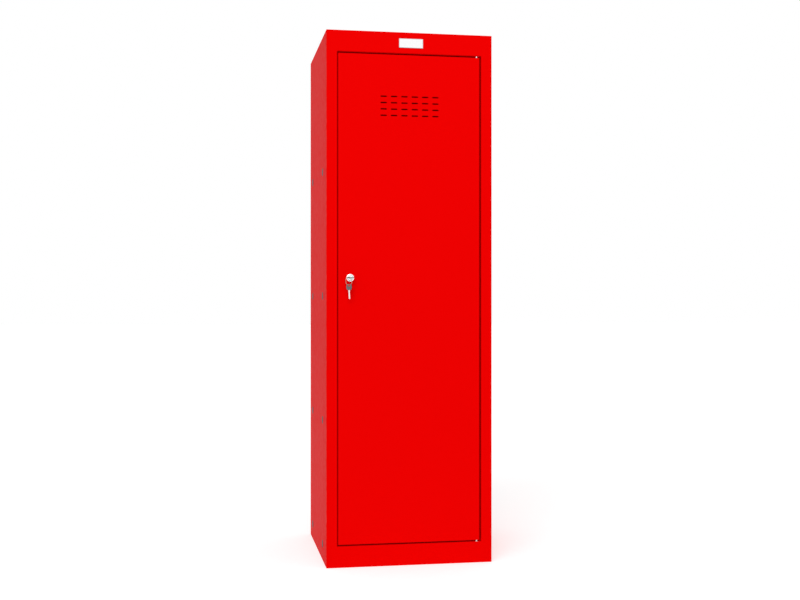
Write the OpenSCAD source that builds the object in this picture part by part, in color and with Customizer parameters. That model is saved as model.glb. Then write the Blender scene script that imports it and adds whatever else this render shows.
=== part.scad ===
/* [Body] */
// Width across the two side panels
body_w = 385; // [330:1:480]
// Depth from the front face to the back
body_d = 385; // [340:1:500]
// Height from the floor to the top
body_h = 1220; // [1150:1:1800]
// Thickness of the carcass and door sheet
sheet_t = 1; // [0.7:0.1:1.2]
// Outside radius of a fold in the sheet
fold_r = 2; // [1.5:0.1:2.3]
// Width of the edges turned in on the back, top and base
lap_w = 15; // [10:0.5:25]

/* [Door frame] */
// Width of the front stile on the lock side
lock_stile_w = 25; // [18:0.5:40]
// Width of the front stile on the hinge side
hinge_stile_w = 25.2; // [18:0.1:40]
// Height of the rail above the door
top_rail_h = 48; // [40:0.5:90]
// Height of the rail below the door
bottom_rail_h = 48; // [34:0.5:90]
// Depth that the stiles are returned behind the front face
stile_return = 22; // [20:0.5:26]
// Width of the strike that the door closes against, and of the lip on the hinge side
strike_w = 12; // [12:0.5:16]
// Depth that the rails are returned behind the front face
rail_return = 20; // [18:0.5:21]
// Height of the stiffening lip behind each rail
rail_lip = 16; // [8:0.5:24]

/* [Door] */
// Gap beside the door on the lock side
lock_gap = 1.8; // [1:0.1:4]
// Gap beside the door on the hinge side
hinge_gap = 3.8; // [2.5:0.1:5]
// Gap above the door
top_gap = 3.6; // [2:0.1:6]
// Gap below the door
bottom_gap = 3.4; // [2:0.1:6]
// Depth of the door pan
door_t = 17; // [15:0.5:18]
// Radius on the door's front edges
door_edge_r = 1.5; // [1.2:0.1:2.5]
// Width of the lip turned in at the back of the door
door_lip = 12; // [8:0.5:16]
// Widest opening angle of the door, in degrees
door_open = 110; // [90:1:110]

/* [Door stiffener] */
// Width of the raised web of the stiffener
web_w = 46; // [30:1:80]
// Width of each flange of the stiffener
web_flange = 12; // [8:1:20]
// Depth of the stiffener
web_t = 14; // [8:0.5:15]
// Distance of its lower end above the foot of the door
web_low = 30; // [20:1:120]
// Distance of its upper end below the lowest vents
web_high = 26; // [15:1:200]

/* [Vents] */
// Number of vent columns
vent_columns = 6; // [1:1:8]
// Number of vent rows
vent_rows = 4; // [1:1:8]
// Length of one vent slot
vent_w = 14.6; // [8:0.1:20]
// Height of one vent slot
vent_h = 2.8; // [2:0.1:6]
// Distance between vent columns
vent_pitch_x = 24.1; // [22:0.1:32]
// Distance between vent rows
vent_pitch_z = 14.5; // [8:0.1:20]
// Distance of the top row below the top of the door
vent_drop = 95.7; // [50:0.1:160]

/* [Name plate] */
// Width of the blank plate
plate_w = 56; // [40:0.5:90]
// Height of the blank plate
plate_h = 21.4; // [12:0.2:28]
// Thickness of the blank plate
plate_t = 0.8; // [0.4:0.1:1.5]
// Offset of the plate to the hinge side
plate_x = 2; // [-40:0.5:40]
// Depth of the plate's centre below the top of the body
plate_drop = 24.6; // [16:0.2:26]

/* [Side plugs] */
// Rows of linking holes in each side
plug_rows = 4; // [2:1:5]
// Height of the lowest row of holes
plug_low = 38.6; // [30:0.2:60]
// Distance between the rows
plug_pitch = 289; // [150:0.5:290]
// Distance of the front column behind the front face
plug_front = 82.5; // [50:0.5:120]
// Distance of the back column before the back
plug_back = 65.6; // [40:0.2:120]
// Diameter of a linking hole
plug_hole_d = 15; // [10:0.5:20]
// Width of a plug's head beyond its hole
plug_rim = 1.5; // [1:0.1:3]
// Thickness of a plug's head
plug_head_t = 1.2; // [0.8:0.1:2]
// Length of a plug's hollow shank
plug_shank = 6; // [4:0.5:9]
// Wall of a plug's hollow shank
plug_wall = 1.6; // [1.2:0.1:2.5]

/* [Hinges] */
// Diameter of the pivot pins
pin_d = 5; // [4:0.5:6]
// Distance of the pins from the hinge edge of the door
pin_inset = 6; // [5.6:0.1:7.6]
// Distance of the pins behind the front face
pin_back = 6.5; // [6.2:0.1:6.6]
// Diameter of the bushes
bush_d = 8; // [7:0.5:8]
// Diameter of the bush flanges
bush_flange_d = 10; // [9:0.5:10]
// Thickness of the bush flanges
bush_flange_t = 1.2; // [0.8:0.1:2]
// Thickness of the steel plates behind the pivots
pivot_plate_t = 3; // [2:0.5:4]
// Width of the steel plates behind the pivots
pivot_plate_w = 28; // [20:1:60]
// Thickness of the closed end of the lower bush
bush_floor_t = 2; // [1:0.5:4]
// Diameter of the heads of the pins
pin_head_d = 8.5; // [7:0.5:10]
// Thickness of the heads of the pins
pin_head_t = 2; // [1:0.5:4]

/* [Door buffers] */
// Number of rubber buffers
buffer_count = 3; // [2:1:5]
// Diameter of a buffer
buffer_d = 9; // [6:0.5:10]
// Height of the first and last buffer from the ends of the opening
buffer_end = 90; // [40:1:200]

/* [Lock] */
// Distance of the lock from the lock edge of the door
lock_inset = 27.3; // [26:0.1:45]
// Height of the lock above the floor
lock_z = 657.8; // [450:0.1:900]
// Diameter of the lock's face
face_d = 18; // [18:0.5:24]
// Thickness of the lock's face
face_t = 2.5; // [1.5:0.1:4]
// Diameter of the lock's barrel
barrel_d = 16; // [15:0.5:17]
// Width of the barrel across its flats
barrel_flats = 14; // [13:0.5:14.5]
// Diameter of the turning plug
core_d = 11.6; // [11:0.1:12]
// Width of the nut across its flats
nut_w = 21; // [19:0.5:22]
// Thickness of the nut
nut_t = 4; // [3:0.5:6]
// Thickness of the washer under the nut
washer_t = 1.2; // [0.8:0.1:2]
// Thickness of the cam
cam_t = 2; // [1.5:0.1:3]
// Width of the cam
cam_w = 14; // [12:0.5:18]
// Corner radius at the end of the cam
cam_r = 3; // [1:0.5:5]
// Side of the square end that drives the cam
square_w = 6; // [5:0.5:7]
// Length of the square end behind the cam's front face
square_l = 2.6; // [2.2:0.1:4]
// Diameter of the cam screw's thread
screw_d = 3.5; // [3:0.5:4]
// Length of the cam screw's thread
screw_l = 6; // [4:0.5:6]
// Diameter of the cam screw's head
screw_head_d = 9; // [8:0.5:11]
// Thickness of the cam screw's head
screw_head_t = 2.2; // [1.5:0.1:4]
// Width of the slot in the cam screw's head
screw_slot_w = 1.2; // [0.8:0.1:1.6]
// Depth of the slot in the cam screw's head
screw_slot_d = 1; // [0.6:0.1:1.2]
// Number of wafer tumblers in the plug
wafer_count = 4; // [2:1:4]
// Thickness of a wafer
wafer_t = 1.2; // [0.8:0.1:1.4]
// Height of a wafer
wafer_h = 5; // [4.5:0.1:5.6]
// Distance between wafers
wafer_pitch = 3; // [2.6:0.1:3.2]
// Depth of the first wafer behind the lock's face
wafer_first = 4.5; // [4:0.1:6]

/* [Keys] */
// Width of a key's bow
bow_w = 14; // [12:0.5:18]
// Length of a key's bow
bow_l = 13.5; // [13:0.5:20]
// Corner radius of a key's bow, at its end
bow_r = 3.5; // [2.5:0.1:4.5]
// Corner radius of a key's bow, beside its blade
shoulder_r = 5; // [4.5:0.1:5.5]
// Thickness of a key
key_t = 1.8; // [1.4:0.1:2]
// Width of a key's blade
blade_w = 3.6; // [3.4:0.1:5.4]
// Length of a key's blade
blade_l = 20; // [18:0.5:20.5]
// Length of the slot in the bow
eye_l = 7.2; // [6.6:0.1:7.8]
// Height of the slot in the bow
eye_w = 3.4; // [2.8:0.1:3.6]
// Distance of the slot's centre from the end of the bow
eye_edge = 3.1; // [3:0.1:4]
// Number of cuts in a blade
bite_count = 4; // [0:1:5]
// Depth of the cuts in a blade
bite_d = 0.9; // [0.4:0.1:1.2]
// Radius of the round ends of the key ring, an oval, to the middle of its wire
ring_r = 6.7; // [5.8:0.1:8]
// Length of the straight sides of the key ring
ring_side = 5.4; // [4:0.1:12]
// Diameter of the ring's wire
wire_d = 1.2; // [0.8:0.1:1.3]
// Angle that the ring and the spare key lean from the upright, in degrees
ring_lean = 3; // [0:0.5:3]
// Angle that the spare key hangs turned from the ring, in degrees
spare_turn = 40; // [36:1:60]

/* [Coat hook] */
// Distance of the hook below the top of the body
hook_drop = 60; // [50:1:500]
// Width of the hook plate
hook_w = 60; // [45:1:90]
// Height of the hook plate
hook_h = 24; // [18:1:40]
// Thickness of the hook plate
hook_t = 2; // [1.5:0.1:3]
// Diameter of the hook's prongs
prong_d = 5; // [4:0.5:6]
// Length that a prong reaches forward
prong_l = 34; // [26:1:60]
// Radius of the turned-up end of a prong
prong_bend_r = 12; // [8:0.5:16]
// Distance between the two prongs
prong_gap = 38; // [32:1:54]
// Diameter of the hook's rivets
rivet_d = 4; // [3:0.5:4.5]
// Diameter of the heads of the rivets
rivet_head_d = 7.2; // [6:0.2:8]
// Thickness of the heads of the rivets
rivet_head_t = 0.9; // [0.6:0.1:1.5]
// Distance between the rivets
rivet_pitch = 18; // [12:1:22]

/* [Fixing holes] */
// Diameter of the holes for fixing to a wall or floor
fix_d = 9; // [6:0.5:12]
// Distance between the wall holes across the back
wall_fix_x = 250; // [150:1:270]
// Distance between the wall holes up the back
wall_fix_z = 900; // [400:1:1000]
// Distance between the floor holes from side to side
floor_fix_x = 300; // [150:1:310]
// Distance between the floor holes from front to back
floor_fix_y = 290; // [150:1:290]

/* [Clearances] */
// Running clearance around a pin or the plug, on the radius
run_gap = 0.06; // [0.02:0.01:0.1]
// Clearance around a piece that is pushed into a hole
push_gap = 0.1; // [0.05:0.01:0.2]
// Clearance around the key's blade
key_gap = 0.2; // [0.1:0.05:0.3]
// Gap between faces that slide past each other
slide_gap = 0.1; // [0.05:0.05:0.3]
// Gap between the cam and the back of the strike
cam_gap = 0.6; // [0.3:0.1:1.5]
// Gap between the end of the cam and the stile
cam_end_gap = 2.6; // [1:0.1:5]
// Gap between a key's shoulder and the lock's face
shoulder_gap = 0.4; // [0.2:0.1:1]
// Gap between the tip of a key and the end of the keyway
key_end_gap = 0.6; // [0.3:0.1:0.8]
// Gap between the key ring and the slot it hangs in, for the curve of the slot
ring_gap = 0.2; // [0.15:0.05:0.4]

/* [Hidden] */
$fn = 64;

// Planes of the carcass, from the origin under the middle of the body
front_y = -body_d / 2;
back_y = body_d / 2;
left_x = -body_w / 2;
right_x = body_w / 2;
inner_w = body_w - 2 * sheet_t;
panel_back_y = back_y - sheet_t;
panel_front_y = panel_back_y - sheet_t;
tray_front_y = front_y + sheet_t;
tray_d = panel_front_y - tray_front_y;

// Edges of the door opening and of the door
open_left = left_x + lock_stile_w;
open_right = right_x - hinge_stile_w;
open_low = bottom_rail_h;
open_high = body_h - top_rail_h;
open_w = open_right - open_left;
open_h = open_high - open_low;
door_left = open_left + lock_gap;
door_right = open_right - hinge_gap;
door_low = open_low + bottom_gap;
door_high = open_high - top_gap;
door_w = door_right - door_left;
door_h = door_high - door_low;
door_mid_x = (door_left + door_right) / 2;
door_back_y = front_y + door_t;
strike_y = front_y + stile_return - sheet_t;

// Vents
vent_top_z = door_high - vent_drop;
vent_low_z = vent_top_z - (vent_rows - 1) * vent_pitch_z;

// Pivots
pin_x = door_right - pin_inset;
pin_y = front_y + pin_back;
pin_r = pin_d / 2;
pivot_plate_d = rail_return - 2 * sheet_t - fold_r;
pivot_plate_x = pin_x - pivot_plate_w / 2;
pivot_plate_right = open_right - push_gap;
pivot_plate_y = front_y + fold_r;
door_plate_d = door_t - 2 * sheet_t;
door_plate_right = door_right - sheet_t;
bush_l = sheet_t + pivot_plate_t;

// Lock
lock_x = door_left + lock_inset;
face_y = front_y - face_t;
cam_y = strike_y + sheet_t + cam_gap;
cam_reach = lock_inset + lock_gap - cam_end_gap;
barrel_back_y = cam_y - slide_gap;
core_r = core_d / 2;
keyway_w = blade_w + 2 * key_gap;
keyway_h = key_t + 2 * key_gap;
keyway_l = blade_l + key_end_gap;
nut_y = front_y + sheet_t + washer_t;

// Coat hook
hook_z = body_h - hook_drop;

// Keys: a key's own origin is at its shoulder, blade to +Y, bow to -Y
shoulder_y = face_y - shoulder_gap;
eye_y = shoulder_y - bow_l + eye_edge;
web_half = (bow_w - eye_l) / 4;
eye_web_x = -eye_l / 2 - web_half;
ring_x = lock_x + eye_web_x;
ring_hang = sqrt(pow(ring_r - wire_d / 2 - slide_gap, 2) - pow(web_half + ring_gap, 2));
wire_rise = ring_r - sqrt(pow(ring_r, 2) - pow(key_t / 2 / sin(spare_turn), 2));
// Heights below the top face of the lock's key, where the ring hangs
ring_drop = ring_hang + ring_side;
spare_pivot_drop = ring_drop + ring_r;
spare_eye_drop = spare_pivot_drop - wire_d / 2 - wire_rise - slide_gap + eye_w / 2;

// Sheet metal sections

// One flat leg of a section between two corners
module leg(x1, y1, x2, y2) {
    translate([min(x1, x2), min(y1, y2)])
        square([abs(x2 - x1), abs(y2 - y1)]);
}

// A quarter fold about a centre; turn picks the quadrant, 0 is +X +Y
module fold(x, y, turn) {
    translate([x, y])
        rotate(turn)
            difference() {
                intersection() {
                    circle(fold_r);
                    square(fold_r);
                }
                circle(fold_r - sheet_t);
            }
}

// Side skin with its front stile and its turned-in back edge, full height
module side_skin_section(stile_w) {
    leg(0, fold_r, sheet_t, body_d - fold_r);
    fold(fold_r, fold_r, 180);
    leg(fold_r, 0, stile_w - fold_r, sheet_t);
    fold(fold_r, body_d - fold_r, 90);
    leg(fold_r, body_d - sheet_t, lap_w, body_d);
}

// Stile return beside the door
module stile_return_section(stile_w) {
    fold(stile_w - fold_r, fold_r, 270);
    leg(stile_w - sheet_t, fold_r, stile_w, stile_return - fold_r);
}

// Strike turned towards the door on the lock side
module strike_section(stile_w) {
    fold(stile_w - sheet_t + fold_r, stile_return - fold_r, 90);
    leg(stile_w - sheet_t + fold_r, stile_return - sheet_t, stile_w + strike_w, stile_return);
}

// Lip turned away from the door on the hinge side
module hinge_lip_section(stile_w) {
    fold(stile_w - fold_r, stile_return - fold_r, 0);
    leg(stile_w - strike_w, stile_return - sheet_t, stile_w - fold_r, stile_return);
}

// Stile edge left flat where the rails meet it
module stile_end(stile_w, low, high) {
    translate([stile_w - fold_r, 0, low])
        cube([fold_r, sheet_t, high - low]);
}

// Holes for the side plugs, drilled along X
module linking_holes(d, l) {
    for (row = [0 : plug_rows - 1])
        for (y = [front_y + plug_front, back_y - plug_back])
            translate([0, y, plug_low + row * plug_pitch])
                rotate([0, 90, 0])
                    cylinder(d = d, h = l, center = true);
}

module side_panel_shell(stile_w, lock_side) {
    linear_extrude(body_h)
        side_skin_section(stile_w);
    translate([0, 0, open_low])
        linear_extrude(open_h) {
            stile_return_section(stile_w);
            if (lock_side)
                strike_section(stile_w);
            else
                hinge_lip_section(stile_w);
        }
    stile_end(stile_w, 0, open_low);
    stile_end(stile_w, open_high, body_h);
}

module left_side_panel() {
    color("red")
        difference() {
            translate([left_x, front_y, 0])
                side_panel_shell(lock_stile_w, true);
            translate([left_x, 0, 0])
                linking_holes(plug_hole_d, 4 * sheet_t);
        }
}

module right_side_panel() {
    color("red")
        difference() {
            translate([right_x, front_y, 0])
                mirror([1, 0, 0])
                    side_panel_shell(hinge_stile_w, false);
            translate([right_x, 0, 0])
                linking_holes(plug_hole_d, 4 * sheet_t);
        }
}

// Four holes on a rectangle, along Z
module hole_rectangle(x, y, d, l) {
    for (sx = [-1, 1])
        for (sy = [-1, 1])
            translate([sx * x / 2, sy * y / 2, 0])
                cylinder(d = d, h = l, center = true);
}

module back_panel() {
    color("red")
        difference() {
            translate([left_x + fold_r, panel_front_y, 0])
                cube([body_w - 2 * fold_r, sheet_t, body_h]);
            translate([0, panel_front_y, body_h / 2])
                rotate([90, 0, 0])
                    hole_rectangle(wall_fix_x, wall_fix_z, fix_d, 4 * sheet_t);
            hook_rivet_places(4 * sheet_t, rivet_d + 2 * push_gap);
        }
}

// Tray with its four edges turned up and its corners notched, its flat face on the floor plane
module tray() {
    translate([left_x + sheet_t, tray_front_y, 0])
        difference() {
            cube([inner_w, tray_d, lap_w]);
            translate([sheet_t, sheet_t, sheet_t])
                cube([inner_w - 2 * sheet_t, tray_d - 2 * sheet_t, lap_w]);
            for (x = [0, inner_w])
                for (y = [0, tray_d])
                    translate([x, y, lap_w / 2])
                        cube([2 * fold_r, 2 * fold_r, 2 * lap_w], center = true);
        }
}

module top_panel() {
    color("red")
        translate([0, 0, body_h])
            mirror([0, 0, 1])
                tray();
}

module base_panel() {
    color("red")
        difference() {
            tray();
            hole_rectangle(floor_fix_x, floor_fix_y, fix_d, 4 * sheet_t);
        }
}

// Rail section in depth and height, with the door opening below it
module rail_section(h) {
    leg(0, fold_r, sheet_t, h);
    fold(fold_r, fold_r, 180);
    leg(fold_r, 0, rail_return - fold_r, sheet_t);
    fold(rail_return - fold_r, fold_r, 270);
    leg(rail_return - sheet_t, fold_r, rail_return, rail_lip);
}

module rail(h) {
    rotate([90, 0, 90])
        linear_extrude(open_w)
            rail_section(h);
}

module top_rail() {
    color("red")
        difference() {
            translate([open_left, front_y, open_high])
                rail(top_rail_h);
            translate([pin_x, pin_y, open_high])
                cylinder(d = bush_d + 2 * push_gap, h = 4 * sheet_t, center = true);
        }
}

module bottom_rail() {
    color("red")
        difference() {
            translate([open_left, front_y, open_low])
                mirror([0, 0, 1])
                    rail(bottom_rail_h);
            translate([pin_x, pin_y, open_low])
                cylinder(d = bush_d + 2 * push_gap, h = 4 * sheet_t, center = true);
        }
}

module name_plate() {
    color("white")
        translate([plate_x, front_y, body_h - plate_drop])
            rotate([90, 0, 0])
                linear_extrude(plate_t)
                    square([plate_w, plate_h], center = true);
}

// One plug on +X: a low domed head outside and a hollow shank inside
module side_plug() {
    head_d = plug_hole_d + 2 * plug_rim;
    rotate([0, 90, 0]) {
        cylinder(d = head_d, h = plug_head_t / 2);
        translate([0, 0, plug_head_t / 2])
            cylinder(d1 = head_d, d2 = head_d - 2 * plug_head_t, h = plug_head_t / 2);
        translate([0, 0, -plug_shank])
            difference() {
                cylinder(d = plug_hole_d - 2 * push_gap, h = plug_shank);
                translate([0, 0, -1])
                    cylinder(d = plug_hole_d - 2 * plug_wall, h = plug_shank);
            }
    }
}

module side_plugs() {
    for (row = [0 : plug_rows - 1])
        for (y = [front_y + plug_front, back_y - plug_back])
            translate([right_x, y, plug_low + row * plug_pitch])
                side_plug();
}

module left_side_plugs() {
    color("dimgray")
        mirror([1, 0, 0])
            side_plugs();
}

module right_side_plugs() {
    color("dimgray")
        side_plugs();
}

// Steel plate that backs a pivot, flat face at the origin's height
module frame_pivot_plate() {
    difference() {
        translate([pivot_plate_x, pivot_plate_y, 0])
            cube([pivot_plate_right - pivot_plate_x, pivot_plate_d, pivot_plate_t]);
        translate([pin_x, pin_y, pivot_plate_t / 2])
            cylinder(d = bush_d + 2 * push_gap, h = 2 * pivot_plate_t, center = true);
    }
}

module upper_pivot_plate() {
    color("silver")
        translate([0, 0, open_high + sheet_t])
            frame_pivot_plate();
}

module lower_pivot_plate() {
    color("silver")
        translate([0, 0, open_low - sheet_t - pivot_plate_t])
            frame_pivot_plate();
}

// Flanged bush, flange above, shank down through the plate and the rail
module upper_pivot_bush() {
    color("whitesmoke")
        translate([pin_x, pin_y, open_high])
            difference() {
                union() {
                    cylinder(d = bush_d, h = bush_l);
                    translate([0, 0, bush_l])
                        cylinder(d = bush_flange_d, h = bush_flange_t);
                }
                translate([0, 0, -1])
                    cylinder(r = pin_r + run_gap, h = bush_l + bush_flange_t + 2);
            }
}

// Closed bush that carries the door's weight on its floor
module lower_pivot_bush() {
    color("whitesmoke")
        translate([pin_x, pin_y, open_low])
            mirror([0, 0, 1])
                difference() {
                    union() {
                        cylinder(d = bush_d, h = bush_l);
                        translate([0, 0, bush_l])
                            cylinder(d = bush_flange_d, h = bush_flange_t + bush_floor_t);
                    }
                    translate([0, 0, -1])
                        cylinder(r = pin_r + run_gap, h = 1 + bush_l + bush_flange_t);
                }
}

module door_buffers() {
    buffer_l = strike_y - door_back_y - slide_gap;
    step = (open_h - 2 * buffer_end) / (buffer_count - 1);
    color("black")
        for (n = [0 : buffer_count - 1])
            translate([open_left + fold_r + buffer_d / 2, strike_y, open_low + buffer_end + n * step])
                rotate([90, 0, 0])
                    cylinder(d = buffer_d, h = buffer_l);
}

// Where the two rivets of the coat hook sit, along Y
module hook_rivet_places(l, d) {
    for (side = [-1, 1])
        translate([side * rivet_pitch / 2, panel_front_y, hook_z])
            rotate([90, 0, 0])
                cylinder(d = d, h = l, center = true);
}

// One prong: straight forward from the plate, then turned up
module prong() {
    rotate([90, 0, 0])
        cylinder(d = prong_d, h = prong_l - prong_bend_r);
    translate([0, prong_bend_r - prong_l, prong_bend_r])
        rotate([0, 90, 0])
            rotate([0, 0, -90])
                rotate_extrude(angle = 90)
                    translate([prong_bend_r, 0])
                        circle(d = prong_d);
    translate([0, -prong_l, prong_bend_r])
        sphere(d = prong_d);
}

module coat_hook() {
    color("silver")
        difference() {
            union() {
                translate([-hook_w / 2, panel_front_y - hook_t, hook_z - hook_h / 2])
                    cube([hook_w, hook_t, hook_h]);
                for (side = [-1, 1])
                    translate([side * prong_gap / 2, panel_front_y - hook_t / 2, hook_z])
                        prong();
            }
            hook_rivet_places(8 * hook_t, rivet_d + 2 * push_gap);
        }
}

// Domed rivets through the hook plate and the back panel
module hook_rivets() {
    grip = hook_t + sheet_t;
    color("silver")
        for (side = [-1, 1])
            translate([side * rivet_pitch / 2, panel_back_y, hook_z])
                rotate([90, 0, 0]) {
                    cylinder(d = rivet_d, h = grip);
                    translate([0, 0, grip])
                        cylinder(d = rivet_head_d, h = rivet_head_t);
                    translate([0, 0, -rivet_head_t])
                        cylinder(d = rivet_head_d, h = rivet_head_t);
                }
}

// Block with its four front edges rounded, front face on the XZ plane
module rounded_front_block(w, d, h, r) {
    intersection() {
        linear_extrude(h)
            rounded_front(w, d, r);
        translate([0, 0, h])
            rotate([0, 90, 0])
                linear_extrude(w)
                    rounded_front(h, d, r);
    }
}

// Outline whose two corners on the X axis are rounded
module rounded_front(w, d, r) {
    translate([r, 0])
        square([w - 2 * r, d]);
    translate([0, r])
        square([w, d - r]);
    for (x = [r, w - r])
        translate([x, r])
            circle(r);
}

// One slot with round ends, cut along Y
module vent_slot() {
    rotate([90, 0, 0])
        linear_extrude(4 * sheet_t, center = true) {
            square([vent_w - vent_h, vent_h], center = true);
            for (side = [-1, 1])
                translate([side * (vent_w - vent_h) / 2, 0])
                    circle(d = vent_h);
        }
}

module vent_slots() {
    for (column = [0 : vent_columns - 1])
        for (row = [0 : vent_rows - 1])
            translate([
                door_mid_x + (column - (vent_columns - 1) / 2) * vent_pitch_x,
                front_y,
                vent_low_z + row * vent_pitch_z
            ])
                vent_slot();
}

// Round bar with two flats, above and below, lying along +Y
module flatted_bar(d, flats, l) {
    intersection() {
        rotate([-90, 0, 0])
            cylinder(d = d, h = l);
        translate([-d, 0, -flats / 2])
            cube([2 * d, l, flats]);
    }
}

module door_panel() {
    color("red")
        difference() {
            translate([door_left, front_y, door_low])
                rounded_front_block(door_w, door_t, door_h, door_edge_r);
            translate([door_left + sheet_t, front_y + sheet_t, door_low + sheet_t])
                cube([door_w - 2 * sheet_t, door_t - 2 * sheet_t, door_h - 2 * sheet_t]);
            translate([door_left + door_lip, front_y + sheet_t, door_low + door_lip])
                cube([door_w - 2 * door_lip, door_t, door_h - 2 * door_lip]);
            vent_slots();
            translate([lock_x, front_y - sheet_t, lock_z])
                flatted_bar(barrel_d + 2 * push_gap, barrel_flats + 2 * push_gap, 4 * sheet_t);
            translate([pin_x, pin_y, door_low - sheet_t])
                cylinder(d = pin_d + 2 * push_gap, h = door_h + 2 * sheet_t);
        }
}

// Hat section up the middle of the door, below the vents
module door_stiffener() {
    stiffener_low = door_low + web_low;
    stiffener_high = vent_low_z - web_high;
    color("red")
        translate([door_mid_x, front_y + sheet_t, stiffener_low])
            linear_extrude(stiffener_high - stiffener_low) {
                for (side = [0, 1])
                    mirror([side, 0]) {
                        leg(web_w / 2 - sheet_t, 0, web_w / 2 + web_flange, sheet_t);
                        leg(web_w / 2 - sheet_t, 0, web_w / 2, web_t);
                    }
                leg(-web_w / 2, web_t - sheet_t, web_w / 2, web_t);
            }
}

// Steel plate inside the door's end, with the pin's hole
module door_plate() {
    difference() {
        translate([pivot_plate_x, front_y + sheet_t, 0])
            cube([door_plate_right - pivot_plate_x, door_plate_d, pivot_plate_t]);
        translate([pin_x, pin_y, pivot_plate_t / 2])
            cylinder(d = pin_d + 2 * push_gap, h = 2 * pivot_plate_t, center = true);
    }
}

module upper_door_plate() {
    color("silver")
        translate([0, 0, door_high - sheet_t - pivot_plate_t])
            door_plate();
}

module lower_door_plate() {
    color("silver")
        translate([0, 0, door_low + sheet_t])
            door_plate();
}

// Pin that drops in from the rail above, with its head on the bush
module upper_hinge_pin() {
    foot_z = door_high - sheet_t - pivot_plate_t;
    head_z = open_high + bush_l + bush_flange_t + slide_gap;
    color("gainsboro")
        translate([pin_x, pin_y, foot_z]) {
            cylinder(d = pin_d, h = head_z - foot_z);
            translate([0, 0, head_z - foot_z])
                cylinder(d = pin_head_d, h = pin_head_t);
        }
}

// Pin headed inside the door, standing on the floor of the lower bush
module lower_hinge_pin() {
    foot_z = open_low - bush_l - bush_flange_t;
    head_z = door_low + sheet_t + pivot_plate_t;
    color("gainsboro")
        translate([pin_x, pin_y, foot_z]) {
            cylinder(d = pin_d, h = head_z - foot_z);
            translate([0, 0, head_z - foot_z])
                cylinder(d = pin_head_d, h = pin_head_t);
        }
}

module lock_housing() {
    color("silver")
        translate([lock_x, face_y, lock_z])
            difference() {
                union() {
                    rotate([-90, 0, 0])
                        cylinder(d = face_d, h = face_t);
                    flatted_bar(barrel_d, barrel_flats, barrel_back_y - face_y);
                }
                translate([0, -1, 0])
                    rotate([-90, 0, 0])
                        cylinder(r = core_r + run_gap, h = barrel_back_y - face_y + 2);
            }
}

module lock_washer() {
    color("silver")
        translate([lock_x, front_y + sheet_t, lock_z])
            rotate([-90, 0, 0])
                difference() {
                    cylinder(d = nut_w, h = washer_t);
                    translate([0, 0, -1])
                        cylinder(d = barrel_d + 2 * push_gap, h = washer_t + 2);
                }
}

module lock_nut() {
    color("silver")
        translate([lock_x, nut_y, lock_z])
            rotate([-90, 30, 0])
                difference() {
                    cylinder(d = nut_w / cos(30), h = nut_t, $fn = 6);
                    translate([0, 0, -1])
                        cylinder(d = barrel_d + 2 * push_gap, h = nut_t + 2);
                }
}

module lock_plug() {
    core_back_y = barrel_back_y - face_y;
    color("silver")
        translate([lock_x, face_y, lock_z])
            difference() {
                union() {
                    rotate([-90, 0, 0])
                        cylinder(r = core_r, h = core_back_y);
                    translate([-square_w / 2, core_back_y - 1, -square_w / 2])
                        cube([square_w, 1 + slide_gap + square_l, square_w]);
                }
                translate([-keyway_w / 2, -1, -keyway_h / 2])
                    cube([keyway_w, 1 + keyway_l, keyway_h]);
                for (n = [0 : wafer_count - 1])
                    translate([-core_d, wafer_first + n * wafer_pitch, -wafer_h / 2 - push_gap])
                        cube([2 * core_d, wafer_t + 2 * push_gap, wafer_h + 2 * push_gap]);
                translate([0, core_back_y + slide_gap + square_l, 0])
                    rotate([90, 0, 0])
                        cylinder(d = screw_d + 2 * push_gap, h = screw_l);
            }
}

// Wafers held flush in the plug by the key that passes through them
module lock_wafers() {
    window_w = keyway_w + 0.4;
    color("goldenrod")
        for (n = [0 : wafer_count - 1])
            translate([lock_x, face_y + wafer_first + push_gap + n * wafer_pitch, lock_z])
                difference() {
                    intersection() {
                        rotate([-90, 0, 0])
                            cylinder(r = core_r - push_gap, h = wafer_t);
                        translate([-core_d, 0, -wafer_h / 2])
                            cube([2 * core_d, wafer_t, wafer_h]);
                    }
                    translate([-window_w / 2, -1, -keyway_h / 2])
                        cube([window_w, wafer_t + 2, keyway_h]);
                }
}

// Flat cam on the square end, hanging down while the lock is open
module lock_cam() {
    color("silver")
        translate([lock_x, cam_y, lock_z])
            difference() {
                rotate([-90, 0, 0])
                    linear_extrude(cam_t) {
                        circle(d = cam_w);
                        translate([-cam_w / 2, 0])
                            square([cam_w, cam_reach - cam_r]);
                        translate([-cam_w / 2 + cam_r, 0])
                            square([cam_w - 2 * cam_r, cam_reach]);
                        for (side = [-1, 1])
                            translate([side * (cam_w / 2 - cam_r), cam_reach - cam_r])
                                circle(cam_r);
                    }
                translate([-square_w / 2 - push_gap, -1, -square_w / 2 - push_gap])
                    cube([square_w + 2 * push_gap, cam_t + 2, square_w + 2 * push_gap]);
            }
}

module cam_screw() {
    head_y = cam_y + square_l;
    color("silver")
        translate([lock_x, head_y, lock_z]) {
            rotate([-90, 0, 0])
                difference() {
                    cylinder(d = screw_head_d, h = screw_head_t);
                    translate([0, 0, screw_head_t])
                        cube([screw_slot_w, 2 * screw_head_d, 2 * screw_slot_d], center = true);
                }
            rotate([90, 0, 0])
                cylinder(d = screw_d, h = screw_l - shoulder_gap);
        }
}

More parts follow.
